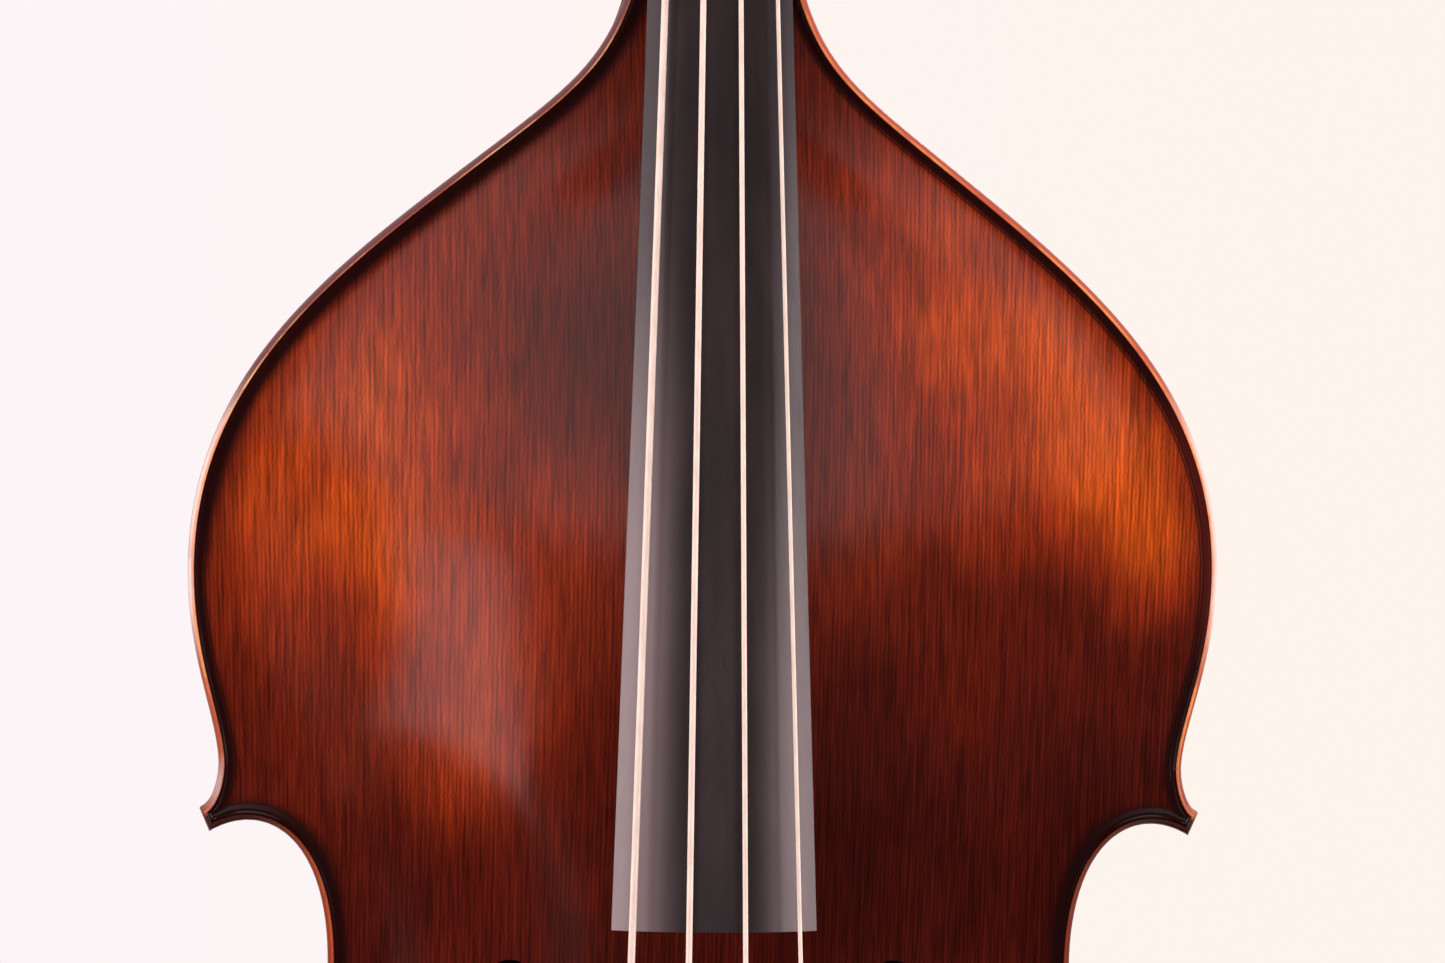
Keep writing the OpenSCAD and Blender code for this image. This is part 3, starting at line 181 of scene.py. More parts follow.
# lines of mesh points that follow the edge
RINGS = [0.3, 0.8, 1.4, 2.1, 2.8, 3.2, 3.5, 3.8, 4.3, 5.2, 7, 9, 11, 13, 15.5, 18.5, 22]

# Sound hole on the treble side: two round eyes, a stem between them and a nick on each side of it.
STOP = 610.0
bridge_z = LENGTH - STOP
eye_u, eye_l = vec(96, bridge_z + 92), vec(140, bridge_z - 82)
EYE_UR = 13.5
EYE_LR = 17.0
nick_at = vec(115.5, bridge_z)
NICK_H = 5
NICK_OUT = 13
NICK_IN = 10


def inside(p, loop):
    """True for points within a closed loop."""
    x, y = p[:, 0], p[:, 1]
    hit = np.zeros(len(p), bool)
    q = np.roll(loop, -1, axis=0)
    for (x0, y0), (x1, y1) in zip(loop, q):
        if y0 == y1:
            continue
        cross = ((y0 > y) != (y1 > y)) & (x < (x1 - x0)*(y - y0)/(y1 - y0) + x0)
        hit ^= cross
    return hit


def stem_sides():
    """The outer and the inner side of the stem, each an open line of points."""
    outer_mid = vec(128, bridge_z - 24)
    inner_mid = vec(102, bridge_z + 26)
    outer = chain(
        bez([eye_u + vec(EYE_UR - 1, -4), eye_u + vec(2, -42), vec(122, bridge_z + 16), outer_mid], 40),
        bez([outer_mid, vec(131, bridge_z - 44), vec(131, bridge_z - 54), eye_l + vec(-8, 15)], 18))
    inner = chain(
        bez([eye_l + vec(-EYE_LR + 1, 4), eye_l + vec(-14, 36), vec(108, bridge_z - 14), inner_mid], 40),
        bez([inner_mid, vec(96, bridge_z + 50), vec(97, bridge_z + 66), eye_u + vec(6, -12)], 18))
    return outer, inner


def ring(centre, radius, points):
    """A circle of points."""
    a = np.radians(np.linspace(0, 360, points + 1))[:-1]
    return np.stack([centre[0] + radius*np.cos(a), centre[1] + radius*np.sin(a)], axis=1)


def near_tree(points):
    """A search tree for the nearest of some plane points."""
    tree = KDTree(len(points))
    for i, p in enumerate(points):
        tree.insert((p[0], p[1], 0), i)
    tree.balance()
    return tree


def gaps(tree, points):
    """Distance from each point to the nearest one in the tree."""
    return np.array([tree.find((p[0], p[1], 0))[2] for p in points])


def hole_mask(p, grow=0.0):
    """True for points in one of the two sound holes, whose eyes and stem are grown by some millimetres."""
    q = np.stack([np.abs(p[:, 0]), p[:, 1]], axis=1)
    stem = np.concatenate(stem_sides())
    hit = inside(q, stem)
    hit |= np.linalg.norm(q - eye_u, axis=1) < EYE_UR + grow
    hit |= np.linalg.norm(q - eye_l, axis=1) < EYE_LR + grow
    x, z = (q - nick_at).T
    hit |= (np.abs(z) < NICK_H*(1 - x/NICK_OUT)) & (x > 0) & (x < NICK_OUT)
    hit |= (np.abs(z) < NICK_H*(1 + x/NICK_IN)) & (x <= 0) & (x > -NICK_IN)
    if grow:
        hit |= gaps(near_tree(stem), q) < grow
    return hit


def hole_loops():
    """Closed loops of the treble sound hole: its two eyes and the two nicks."""
    high, low = nick_at + vec(0, NICK_H), nick_at - vec(0, NICK_H)
    return [ring(eye_u, EYE_UR, 40), ring(eye_l, EYE_LR, 48),
            np.stack([high, nick_at + vec(NICK_OUT, 0), low]),
            np.stack([low, nick_at - vec(NICK_IN, 0), high])]


def carved_plate(name, rise, place, holes, button, grid):
    """A carved plate as a closed mesh. Its points follow the edge, so the bead stays clean."""
    loop = plate_loop(button)
    n = len(loop)
    edge_tree = near_tree(resample(np.concatenate([loop, loop[:1]]), EDGE_SAMPLE))
    along = np.roll(loop, -1, axis=0) - np.roll(loop, 1, axis=0)
    normal = np.stack([-along[:, 1], along[:, 0]], axis=1)
    normal /= np.linalg.norm(normal, axis=1)[:, None]
    pts = [loop]
    for r in RINGS:
        q = loop + r*normal
        keep = (gaps(edge_tree, q) > r - EDGE_SLACK) & inside(q, loop)
        pts.append(q[keep])
    gx = np.arange(-LOW_X, LOW_X, grid)
    gz = np.arange(0, LENGTH, grid)
    q = np.stack(np.meshgrid(gx + grid/2, gz), axis=-1).reshape(-1, 2)
    q = q[inside(q, loop)]
    pts.append(q[gaps(edge_tree, q) > RINGS[-1] + 0.6*grid])
    pts = np.concatenate(pts)
    edges = [(i, (i + 1) % n) for i in range(n)]
    if holes:
        free = ~hole_mask(pts, HOLE_ROOM)
        free[:n] = True
        pts = pts[free]
        for flip in (1, -1):
            for stem in stem_sides():
                edges += [(len(pts) + i, len(pts) + i + 1) for i in range(len(stem) - 1)]
                pts = np.concatenate([pts, stem*vec(flip, 1)])
            for hole in hole_loops():
                count = len(hole)
                edges += [(len(pts) + i, len(pts) + (i + 1) % count) for i in range(count)]
                pts = np.concatenate([pts, hole*vec(flip, 1)])
    co, _, tris, *_ = delaunay_2d_cdt([Vector(p) for p in pts], edges, [], 0, 1e-4)
    co = np.array([(v.x, v.y) for v in co])
    tris = np.array(tris)
    mid = co[tris].mean(axis=1)
    keep = inside(mid, loop)
    if holes:
        keep &= ~hole_mask(mid)
    tris = tris[keep]
    used = np.unique(tris)
    renum = np.full(len(co), -1)
    renum[used] = np.arange(len(used))
    co, tris = co[used], renum[tris]
    edge_gap = gaps(edge_tree, co)
    high = np.interp(edge_gap, EDGE[:, 0], EDGE[:, 1]) + rise*arch_share(co[:, 0], co[:, 1])
    low = np.maximum(0, np.where(edge_gap > INSET, high - PLATE, 0))
    m = len(co)
    top = place(co[:, 0], co[:, 1], high)
    under = place(co[:, 0], co[:, 1], low)
    a, b, c = (co[tris[:, k]] for k in range(3))
    ccw = np.cross(b - a, c - a) > 0
    tris[~ccw] = tris[~ccw][:, ::-1]
    faces = [tuple(t) for t in tris] + [(t[2] + m, t[1] + m, t[0] + m) for t in tris]
    # an edge that has a face on one side only gets a wall down to the inner side
    borders = dict.fromkeys(e for t in tris for e in ((t[0], t[1]), (t[1], t[2]), (t[2], t[0])))
    faces += [(i, i + m, j + m, j) for i, j in borders if (j, i) not in borders]
    mesh = bpy.data.meshes.new(name)
    mesh.from_pydata(np.concatenate([top, under])*MM, [], faces)
    at = mesh.attributes.new("edge_d", "FLOAT", "POINT")
    at.data.foreach_set("value", np.concatenate([edge_gap, np.full(m, INNER_GAP)]).astype(np.float32))
    return finish_mesh(name, mesh)


def finish_mesh(name, mesh, angle=40):
    """Turns all faces outward, shades all but the sharp edges smooth and adds the piece to the scene."""
    mesh.validate()
    bm = bmesh.new()
    bm.from_mesh(mesh)
    bmesh.ops.recalc_face_normals(bm, faces=bm.faces)
    bm.to_mesh(mesh)
    bm.free()
    mesh.shade_smooth()
    mesh.set_sharp_from_angle(angle=math.radians(angle))
    ob = bpy.data.objects.new(name, mesh)
    scene.collection.objects.link(ob)
    return ob


def on_front(x, z, h):
    """Puts the top plate in place. It stands upright and its heights point forward."""
    return np.stack([x, Y_FRONT - h, BODY_Z + z], axis=1)


def on_back(x, z, h):
    """Puts the back plate in place. It leans forward towards the neck."""
    return np.stack([x, Y_BACK_LOW - z*math.sin(LEAN) + h*math.cos(LEAN),
                     BODY_Z + z*math.cos(LEAN) + h*math.sin(LEAN)], axis=1)


top = carved_plate("carved_top", TOP_RISE, on_front, True, False, TOP_GRID)
back = carved_plate("carved_back", BACK_RISE, on_back, False, True, BACK_GRID)
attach(top, "instrument")
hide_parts("top_plate")
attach(back, "instrument")
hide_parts("back_plate")


# Strings along the CAD route, as smooth round tubes. The lists run from the E to the G string.
CROWN_H = 193.5
STRING_RISE = 62
crown = vec(0, Y_FRONT - CROWN_H, TOP_Z - STOP)
NECK_A = math.atan((CROWN_H - STRING_RISE)/STOP)
STRING_L = 1060.0
STRING_D = [3.4, 2.9, 2.4, 2.0]
STRING_SIDES = 16
BEND_ROOM = 3.0
SHARE = [-0.5, -1/6, 1/6, 0.5]
NUT_SPREAD = 28
NUT_R = 50
BRIDGE_SPREAD = 86
BRIDGE_R = 76
ROLLER_R = 7
ROLLER_FIRST_Z = 46
ROLLER_PITCH = 39
ROLLER_Y = [27, 33, 34, 30]
ROLLER_STEP = [0, 2, 3, 1]
LIFT = 0.3
WIND_X = [-9, -4.5, 4.5, 9]
WIND_DIR = [1, 1, -1, -1]
WIND_GAP = 0.45
TURN_POINTS = 48
TURNS = 3
# length of a string's free end after its winding, in diameters
END_STUB = 1.2
TAIL_X = [-31, -10.5, 10.5, 31]
TAIL_R = 60.0
TAIL_CROWN = -6.0
TAIL_UNDER = 15.0
TAIL_Z = -128.0
SADDLE_RISE = 22
SADDLE_IN = 8
WIRE_R = 1.5
saddle_y = Y_FRONT - SADDLE_RISE - WIRE_R - LIFT
saddle_z = BODY_Z + SADDLE_IN
TAIL_A = math.atan((saddle_y - crown[1])/(crown[2] - saddle_z))


def sag(x, r):
    """How far a round crown of some radius has dropped at a distance from its middle."""
    return r - math.sqrt(r*r - x*x)


def tilted(x, y, z, angle):
    """A point beside the bridge's crown, turned about the crossways axis."""
    c, n = math.cos(angle), math.sin(angle)
    return crown + vec(x, y*c + z*n, z*c - y*n)


def from_neck(x, y, z):
    """A point given from the nut, with z up along the neck."""
    return tilted(x, y, z + STRING_L, NECK_A)


def from_tail(x, y, z):
    """A point given from the bridge's crown, with z up along the line from the saddle."""
    return tilted(x, y, z, -TAIL_A)


def rounded(path, room):
    """Replaces each corner of a path by a short curve."""
    out = [path[0]]
    for a, b, c in zip(path, path[1:], path[2:]):
        r = min(room, 0.4*np.linalg.norm(b - a), 0.4*np.linalg.norm(c - b))
        p, q = b + r*(a - b)/np.linalg.norm(a - b), b + r*(c - b)/np.linalg.norm(c - b)
        for t in np.linspace(0, 1, 5):
            out.append((1-t)**2*p + 2*(1-t)*t*b + t*t*q)
    return out + [path[-1]]


def tube(name, path, radius, sides):
    """A closed round tube along a path. Its points keep their length along it, for the turns of the wrap."""
    path = np.array(path)
    t = np.gradient(path, axis=0)
    t /= np.linalg.norm(t, axis=1)[:, None]
    e = vec(1, 0, 0)
    rings = []
    a = np.radians(np.arange(sides)*360/sides)
    for p, u in zip(path, t):
        e = e - np.dot(e, u)*u
        e /= np.linalg.norm(e)
        b = np.cross(u, e)
        rings.append(p + radius*(np.cos(a)[:, None]*e + np.sin(a)[:, None]*b))
    n = len(path)
    verts = np.concatenate(rings + [path[:1], path[-1:]])
    faces = [(i*sides + k, i*sides + (k+1) % sides, (i+1)*sides + (k+1) % sides, (i+1)*sides + k)
             for i in range(n - 1) for k in range(sides)]
    faces += [(n*sides, (k+1) % sides, k) for k in range(sides)]
    faces += [(n*sides + 1, (n-1)*sides + k, (n-1)*sides + (k+1) % sides) for k in range(sides)]
    mesh = bpy.data.meshes.new(name)
    mesh.from_pydata(verts*MM, [], faces)
    run = np.concatenate([[0], np.cumsum(np.linalg.norm(np.diff(path, axis=0), axis=1))])
    at = mesh.attributes.new("run", "FLOAT", "POINT")
    along = np.concatenate([np.repeat(run, sides), [0, run[-1]]])
    at.data.foreach_set("value", along.astype(np.float32))
    return finish_mesh(name, mesh, angle=60)


def string_path(i):
    """The middle line of one string, from its ball over bridge and nut to the end of its winding."""
    d, x = STRING_D[i], TAIL_X[i]
    r = ROLLER_R + LIFT + d/2
    nut_x = NUT_SPREAD*SHARE[i]
    nut_y = sag(nut_x, NUT_R)
    roller_z = ROLLER_FIRST_Z + ROLLER_PITCH*ROLLER_STEP[i]
    dy = ROLLER_Y[i] - nut_y
    drop = math.atan2(dy, roller_z) - math.asin(r/math.hypot(dy, roller_z))
    free = math.sqrt(dy*dy + roller_z*roller_z - r*r)
    y = TAIL_CROWN + sag(x, TAIL_R) - d/2 - LIFT
    bridge_x = BRIDGE_SPREAD*SHARE[i]
    # up through the tailpiece, over its end, then over the bridge and the nut
    run = [from_tail(x, TAIL_UNDER + 0.2, TAIL_Z - 21), from_tail(x, 9, TAIL_Z - 20.5),
           from_tail(x, y + 3, TAIL_Z - 17), from_tail(x, y, TAIL_Z - 9), from_tail(x, y, TAIL_Z + 2),
           crown + vec(bridge_x, sag(bridge_x, BRIDGE_R), 0), from_neck(nut_x, nut_y, 0)]
    run += [from_neck(nut_x + s*(WIND_X[i] - nut_x), nut_y + s*free*math.sin(drop), s*free*math.cos(drop))
            for s in (0.5, 0.96)]
    wind = []
    for k in range(TURNS*TURN_POINTS + 1):
        a = math.pi - drop - math.radians(360/TURN_POINTS*k)
        side = WIND_DIR[i]*(d + WIND_GAP)*k/TURN_POINTS
        wind.append(vec(WIND_X[i] + side, ROLLER_Y[i] + r*math.cos(a), roller_z + r*math.sin(a)))
    last = wind[-1] - wind[-2]
    wind.append(wind[-1] + END_STUB*d*last/np.linalg.norm(last))
    return rounded(run, BEND_ROOM) + [from_neck(*w) for w in wind]


strings = []
for i, s in enumerate("eadg"):
    ob = tube("wound_string_" + s, string_path(i), STRING_D[i]/2, STRING_SIDES)
    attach(ob, "instrument")
    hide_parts("string_" + s)
    strings.append(ob)


# Materials. Blobs on the front of the instrument have this middle and half depth in Y, in metres.
FRONT_Y = -0.11
FRONT_DEEP = 0.3


class Mat:
    """A material's node tree, with short words for the usual nodes."""

    def __init__(self, name):
        self.mat = bpy.data.materials.new(name)
        self.mat.use_nodes = True
        self.tree = self.mat.node_tree
        self.tree.nodes.clear()
        self.co = self.new("ShaderNodeTexCoord").outputs["Object"]
        xyz = self.new("ShaderNodeSeparateXYZ", {"Vector": self.co})
        self.x, self.y, self.z = xyz.outputs

    def put(self, socket, value):
        if isinstance(value, bpy.types.NodeSocket):
            self.tree.links.new(value, socket)
        else:
            socket.default_value = value

    def new(self, kind, inputs=None, **props):
        node = self.tree.nodes.new(kind)
        for k, v in props.items():
            setattr(node, k, v)
        for k, v in (inputs or {}).items():
            self.put(node.inputs[k], v)
        return node

    def math(self, op, a, b=0.0, clamp=False):
        node = self.new("ShaderNodeMath", {0: a, 1: b}, operation=op, use_clamp=clamp)
        return node.outputs[0]

    def mix(self, fac, a, b, blend="MIX"):
        node = self.new("ShaderNodeMix", data_type="RGBA", blend_type=blend)
        self.put(node.inputs[0], fac)
        for k, v in ((6, a), (7, b)):
            self.put(node.inputs[k], v if isinstance(v, bpy.types.NodeSocket) else (*v, 1))
        return node.outputs[2]

    def times(self, a, b):
        return self.math("MULTIPLY", a, b)

    def plus(self, a, b):
        return self.math("ADD", a, b)

    def minus(self, a, b):
        return self.math("SUBTRACT", a, b)

    def size_of(self, a):
        return self.math("ABSOLUTE", a)

    def shaded(self, color, shade):
        """A colour made darker or lighter by a grey value."""
        grey = self.new("ShaderNodeCombineColor", {0: shade, 1: shade, 2: shade}).outputs[0]
        return self.mix(1.0, color, grey, "MULTIPLY")

    def scaled(self, s):
        return self.new("ShaderNodeMapping", {"Vector": self.co, "Scale": s}).outputs[0]

    def noise(self, scale, detail=4.0, rough=0.55, stretch=None, distort=0.0):
        place = self.scaled(stretch) if stretch else self.co
        node = self.new("ShaderNodeTexNoise", {
            "Vector": place, "Scale": scale, "Detail": detail, "Roughness": rough, "Distortion": distort})
        return node.outputs[0]

    def step(self, value, lo, hi, a=0.0, b=1.0):
        """Soft change from a to b while the value goes from lo to hi."""
        node = self.new("ShaderNodeMapRange", {0: value, 1: lo, 2: hi, 3: a, 4: b},
                        interpolation_type="SMOOTHSTEP")
        return node.outputs[0]

    def line(self, value, lo, hi, a=0.0, b=1.0):
        """Even change from a to b while the value goes from lo to hi."""
        return self.new("ShaderNodeMapRange", {0: value, 1: lo, 2: hi, 3: a, 4: b}).outputs[0]

    def blob(self, centre, size):
        """One at a place, falling to nothing at its rim."""
        off = self.new("ShaderNodeVectorMath", {0: self.co, 1: centre}, operation="SUBTRACT").outputs[0]
        off = self.new("ShaderNodeVectorMath", {0: off, 1: tuple(1/s for s in size)},
                       operation="MULTIPLY").outputs[0]
        far = self.new("ShaderNodeVectorMath", {0: off}, operation="LENGTH").outputs["Value"]
        return self.step(far, 0.0, 1.0, 1.0, 0.0)

    def attr(self, name):
        return self.new("ShaderNodeAttribute", attribute_name=name).outputs["Fac"]

    def place(self, x, z, wide, tall):
        """A blob on the front of the instrument, of some half width and half height in metres."""
        return self.blob((x, FRONT_Y, z), (wide, FRONT_DEEP, tall))

    def bump(self, height, distance, strength):
        return self.new("ShaderNodeBump", {
            "Height": height, "Distance": distance, "Strength": strength}).outputs[0]

    def done(self, **sockets):
        """Makes the shader from its values and gives back the material."""
        names = {"color": "Base Color", "rough": "Roughness", "metal": "Metallic", "normal": "Normal",
                 "spec": "Specular IOR Level", "coat": "Coat Weight", "coat_rough": "Coat Roughness",
                 "coat_normal": "Coat Normal", "tint": "Specular Tint"}
        shader = self.new("ShaderNodeBsdfPrincipled")
        for k, v in sockets.items():
            self.put(shader.inputs[names[k]], v)
        out = self.new("ShaderNodeOutputMaterial")
        self.tree.links.new(shader.outputs[0], out.inputs[0])
        return self.mat


# Places on the top plate, in metres: x, z, half width, half height and strength.
# the varnish is worn thin and glows
GLOW = [
    (-0.21, 1.05, 0.09, 0.12, 0.46), (-0.165, 1.06, 0.08, 0.13, 0.44), (-0.115, 0.92, 0.055, 0.09, 0.43),
    (-0.14, 1.01, 0.2, 0.21, 0.41), (-0.125, 1.195, 0.14, 0.1, 0.26), (-0.02, 1.21, 0.09, 0.1, 0.42),
    (-0.07, 1.035, 0.06, 0.06, 0.15), (-0.155, 0.965, 0.026, 0.05, 0.26), (0.215, 1.04, 0.085, 0.1, 0.9),
    (0.14, 1.12, 0.14, 0.14, 0.58), (0.1, 1.21, 0.1, 0.09, 0.5), (0.085, 1.01, 0.12, 0.09, 0.26),
    (0.215, 1.03, 0.05, 0.08, 0.35), (0.11, 1.1, 0.05, 0.05, 0.24), (0.17, 1.115, 0.04, 0.04, 0.2),
    (0.145, 1.025, 0.04, 0.05, 0.26), (-0.2, 0.36, 0.2, 0.24, 0.6), (0.2, 0.38, 0.2, 0.24, 0.6)]
# darker places, most of them round the waist on the right; the last one is painted shade below the edge of
# the sheen
DARK_PLACES = [
    (0.07, 0.86, 0.09, 0.145, 0.72), (0.19, 0.86, 0.1, 0.13, 0.7), (0.0, 0.78, 0.3, 0.12, 0.4),
    (-0.07, 1.105, 0.045, 0.075, 0.45), (0.187, 0.987, 0.045, 0.038, 0.42)]
# the gloss is rubbed dull, without a strength
DULL = [(-0.215, 0.975, 0.1, 0.15), (-0.25, 1.0, 0.08, 0.1), (-0.055, 0.89, 0.055, 0.08)]
# corner tips on the treble side, and whether the bouts beside them lie above (1) or below (-1)
CORNER_TIPS = [((0.25, 0, 0.8715), 1.0), ((0.27, 0, 0.656), -1.0)]
# inner border of the bead and middle of the two inlaid lines, in millimetres from the edge
BEAD = (3.35, 3.6)
INLAY = 7.9
INLAY_HALF = 0.75


def growth_lines(m):
    """Lines that run up the plate, a little wavy, and the shade that they and the fibres give."""
    sway = m.noise(2.2, 2.0, 0.5, (1, 1, 0.6))
    shift = m.new("ShaderNodeCombineXYZ", {0: m.times(sway, 0.03)}).outputs[0]
    bent = m.new("ShaderNodeVectorMath", {0: m.co, 1: shift}, operation="ADD").outputs[0]
    lines = m.new("ShaderNodeTexWave", {
        "Vector": bent, "Scale": 150.0, "Distortion": 3.5, "Detail": 4.0, "Detail Scale": 1.3,
        "Detail Roughness": 0.6}, wave_type="BANDS", bands_direction="X", wave_profile="SIN").outputs["Fac"]
    fibre = m.noise(1.0, 5.0, 0.65, (1000, 300, 20))
    broken = m.noise(1.0, 4.0, 0.6, (420, 100, 7))
    fleck = m.noise(1.0, 3.0, 0.55, (560, 200, 34))
    ridge = m.times(m.step(lines, 0.35, 0.95), m.step(broken, 0.3, 0.6, 0.3, 1.0))
    shade = m.line(ridge, 0.0, 1.0, 1.1, 0.66)
    shade = m.times(shade, m.line(fibre, 0.25, 0.75, 0.76, 1.24))
    shade = m.times(shade, m.line(fleck, 0.32, 0.68, 0.62, 1.38))
    shade = m.times(shade, m.line(broken, 0.3, 0.7, 1.07, 0.93))
    return lines, fibre, shade


def bead_color(m, edge, side, waist, bout, high):
    """Brown and orange on the shoulders, red at the waist, dark at the corners; painted highlight on the
    bouts, painted sheen on the left and at the upper left corner, painted shade along the outer rim.
    """
    worn = m.step(m.noise(13.0, 5.0, 0.6), 0.36, 0.56)
    nick = m.step(m.noise(120.0, 3.0, 0.6), 0.35, 0.6, 0.65, 1.0)
    low = m.step(m.z, 0.93, 1.0, 1.0, 0.0)
    # outer slope of the bead: reddish on the right, purple-brown on the left, where the purple is a painted
    # sheen over the brown
    outer = m.mix(side, (0.14, 0.045, 0.05), (0.4, 0.07, 0.045))
    outer = m.mix(low, outer, (0.34, 0.06, 0.024))
    # painted highlight: a pinkish-white line on the outer slope of the bead at the bouts
    pale = m.times(bout, m.step(m.noise(30.0, 4.0, 0.6), 0.3, 0.5, 0.6, 0.95))
    outer = m.mix(pale, outer, (0.88, 0.6, 0.56))
    outer = m.mix(m.times(waist, 0.9), outer, m.mix(side, (0.22, 0.02, 0.005), (0.1, 0.011, 0.006)))
    inner = m.plus(1.8, m.times(m.minus(1.0, side), m.times(high, 0.65)))
    crest = m.step(m.minus(edge, inner), 0.0, 0.5)
    crest = m.times(crest, m.plus(0.5, m.times(worn, 0.5)))
    crest = m.times(crest, m.line(m.times(waist, side), 0.0, 1.0, 1.0, 0.2))
    bright = m.mix(side, m.mix(high, (0.85, 0.3, 0.12), (0.97, 0.53, 0.25)), (0.85, 0.26, 0.09))
    bright = m.mix(m.times(waist, 0.8), bright, (0.5, 0.12, 0.04))
    bead = m.mix(m.times(crest, nick), outer, m.mix(worn, (0.6, 0.12, 0.04), bright))
    mirrored = m.new("ShaderNodeCombineXYZ", {0: m.size_of(m.x), 1: 0.0, 2: m.z}).outputs[0]
    corner = 0.0
    for tip, flip in CORNER_TIPS:
        gap = m.new("ShaderNodeVectorMath", {0: mirrored, 1: tip}, operation="DISTANCE").outputs["Value"]
        # dark on the waist's side of a slanted line through the tip, less on the bout's side
        over = m.times(m.minus(m.z, tip[2]), flip)
        over = m.minus(over, m.times(m.minus(tip[0], m.size_of(m.x)), 0.7))
        part = m.step(over, -0.002, 0.002, 1.0, 0.2)
        bead = m.mix(m.times(m.step(gap, 0.02, 0.075, 0.95, 0.0), part), bead, (0.022, 0.005, 0.005))
        corner = m.math("MAXIMUM", corner, m.step(gap, 0.01, 0.05, 1.0, 0.0))
    # a painted pinkish sheen on the bead above the upper left corner, and a lighter orange spot at the upper
    # right tip
    painted_sheen_left = m.blob((-0.247, -0.1, 0.888), (0.016, 0.3, 0.018))
    bead = m.mix(m.times(painted_sheen_left, 0.7), bead, (0.55, 0.38, 0.38))
    orange_tip_right = m.blob((0.253, -0.1, 0.878), (0.009, 0.3, 0.009))
    bead = m.mix(m.times(orange_tip_right, 0.8), bead, (0.7, 0.22, 0.11))
    # painted shade: a dark line along the outermost edge of the bead, strong on the left and faint on the
    # right
    rim = m.times(m.step(edge, 0.3, 0.7, 0.6, 0.0), m.line(side, 0.0, 1.0, 1.0, 0.2))
    return m.mix(rim, bead, (0.16, 0.05, 0.045)), corner


def spruce_material():
    m = Mat("varnished_spruce_top")
    edge = m.attr("edge_d")
    lines, fibre, shade = growth_lines(m)
    streak = m.noise(1.0, 4.0, 0.55, (110, 60, 2.0))
    cloud = m.noise(7.0, 3.0, 0.5)
    patch = m.noise(15.0, 4.0, 0.6, (1, 1, 0.6))
    glow = 0.0
    for x, z, wide, tall, strength in GLOW:
        glow = m.plus(glow, m.times(m.place(x, z, wide, tall), strength))
    glow = m.math("MULTIPLY", glow, m.step(cloud, 0.28, 0.64, 0.45, 1.15), True)
    base = m.mix(m.step(patch, 0.3, 0.7), (0.052, 0.0036, 0.0016), (0.1, 0.007, 0.002))
    color = m.mix(m.step(glow, 0.0, 0.55), base, (0.26, 0.0225, 0.003))
    color = m.mix(m.step(glow, 0.4, 1.0), color, (0.53, 0.07, 0.004))
    color = m.mix(m.step(streak, 0.4, 0.72, 0.0, 0.18), color, (0.06, 0.005, 0.0025))
    # darker colour at these places; at the last one it is painted shade
    for x, z, wide, tall, strength in DARK_PLACES:
        color = m.mix(m.times(m.place(x, z, wide, tall), strength), color, (0.022, 0.0018, 0.0014))
    color = m.shaded(color, shade)
    # masks: the waist, the right side, the widest part of the bouts, the shoulders, the upper left
    waist = m.step(m.size_of(m.minus(m.z, 0.765)), 0.09, 0.13, 1.0, 0.0)
    side = m.step(m.x, -0.02, 0.02)
    bout = m.times(m.step(m.z, 0.94, 0.99), m.step(m.z, 1.05, 1.1, 1.0, 0.0))
    high = m.step(m.z, 1.05, 1.1)
    upper_left = m.times(m.minus(1.0, side), m.step(m.z, 0.98, 1.04))
    # dark hollow beside the bead, with two inlaid lines, wider round the waist and on the upper left
    near = m.line(upper_left, 0.0, 1.0, 6.0, 8.0)
    reach = m.plus(m.line(upper_left, 0.0, 1.0, 8.5, 12.5), m.times(waist, 4.0))
    reach = m.plus(reach, m.times(cloud, 6.0))
    far = m.math("DIVIDE", m.minus(edge, near), m.minus(reach, near))
    hollow = m.times(m.step(edge, *BEAD), m.step(far, 0.0, 1.0, 1.0, 0.0))
    fringe = m.times(bout, m.plus(m.times(upper_left, 0.6), 0.12))
    fringe = m.times(fringe, m.step(m.plus(edge, m.times(patch, 10.0)), 12.0, 32.0, 1.0, 0.0))
    color = m.mix(fringe, color, (0.07, 0.006, 0.003))
    deep = m.mix(m.times(m.times(bout, side), 0.85), (0.0125, 0.0014, 0.0016), (0.075, 0.008, 0.006))
    color = m.mix(m.times(hollow, 0.96), color, deep)
    inlay = m.size_of(m.minus(m.size_of(m.minus(edge, INLAY)), INLAY_HALF))
    color = m.mix(m.step(inlay, 0.2, 0.5, 0.75, 0.0), color, (0.012, 0.003, 0.003))
    bead, corner = bead_color(m, edge, side, waist, bout, high)
    on_bead = m.step(edge, *BEAD, 1.0, 0.0)
    color = m.mix(on_bead, color, bead)
    rough = m.line(m.noise(40.0, 4.0, 0.6, (1, 1, 0.3)), 0.2, 0.8, 0.3, 0.42)
    normal = m.bump(m.plus(m.times(lines, 0.5), m.times(fibre, 0.7)), 0.00012, 0.45)
    # the gloss is rubbed dull round the waist, beside the neck and on the left
    dull = m.times(m.step(m.z, 0.865, 0.9, 0.85, 0.0), m.step(m.z, 0.6, 0.68))
    dull = m.math("MAXIMUM", dull, m.step(m.z, 1.18, 1.24, 0.0, 0.9))
    for spot in DULL:
        dull = m.math("MAXIMUM", dull, m.step(m.place(*spot), 0.1, 0.5, 0.0, 0.9))
    coat = m.times(m.line(hollow, 0.0, 1.0, 0.55, 0.02), m.minus(1.0, dull))
    bead_coat = m.times(on_bead, m.line(waist, 0.0, 1.0, 0.2, 0.1))
    coat = m.plus(m.times(coat, m.minus(1.0, on_bead)), bead_coat)
    coat = m.math("MAXIMUM", coat, m.times(m.times(hollow, corner), 0.35))
    return m.done(color=color, rough=rough, normal=normal, spec=0.04, coat_rough=0.125, coat=coat,
                  coat_normal=m.bump(fibre, 0.00004, 0.3))


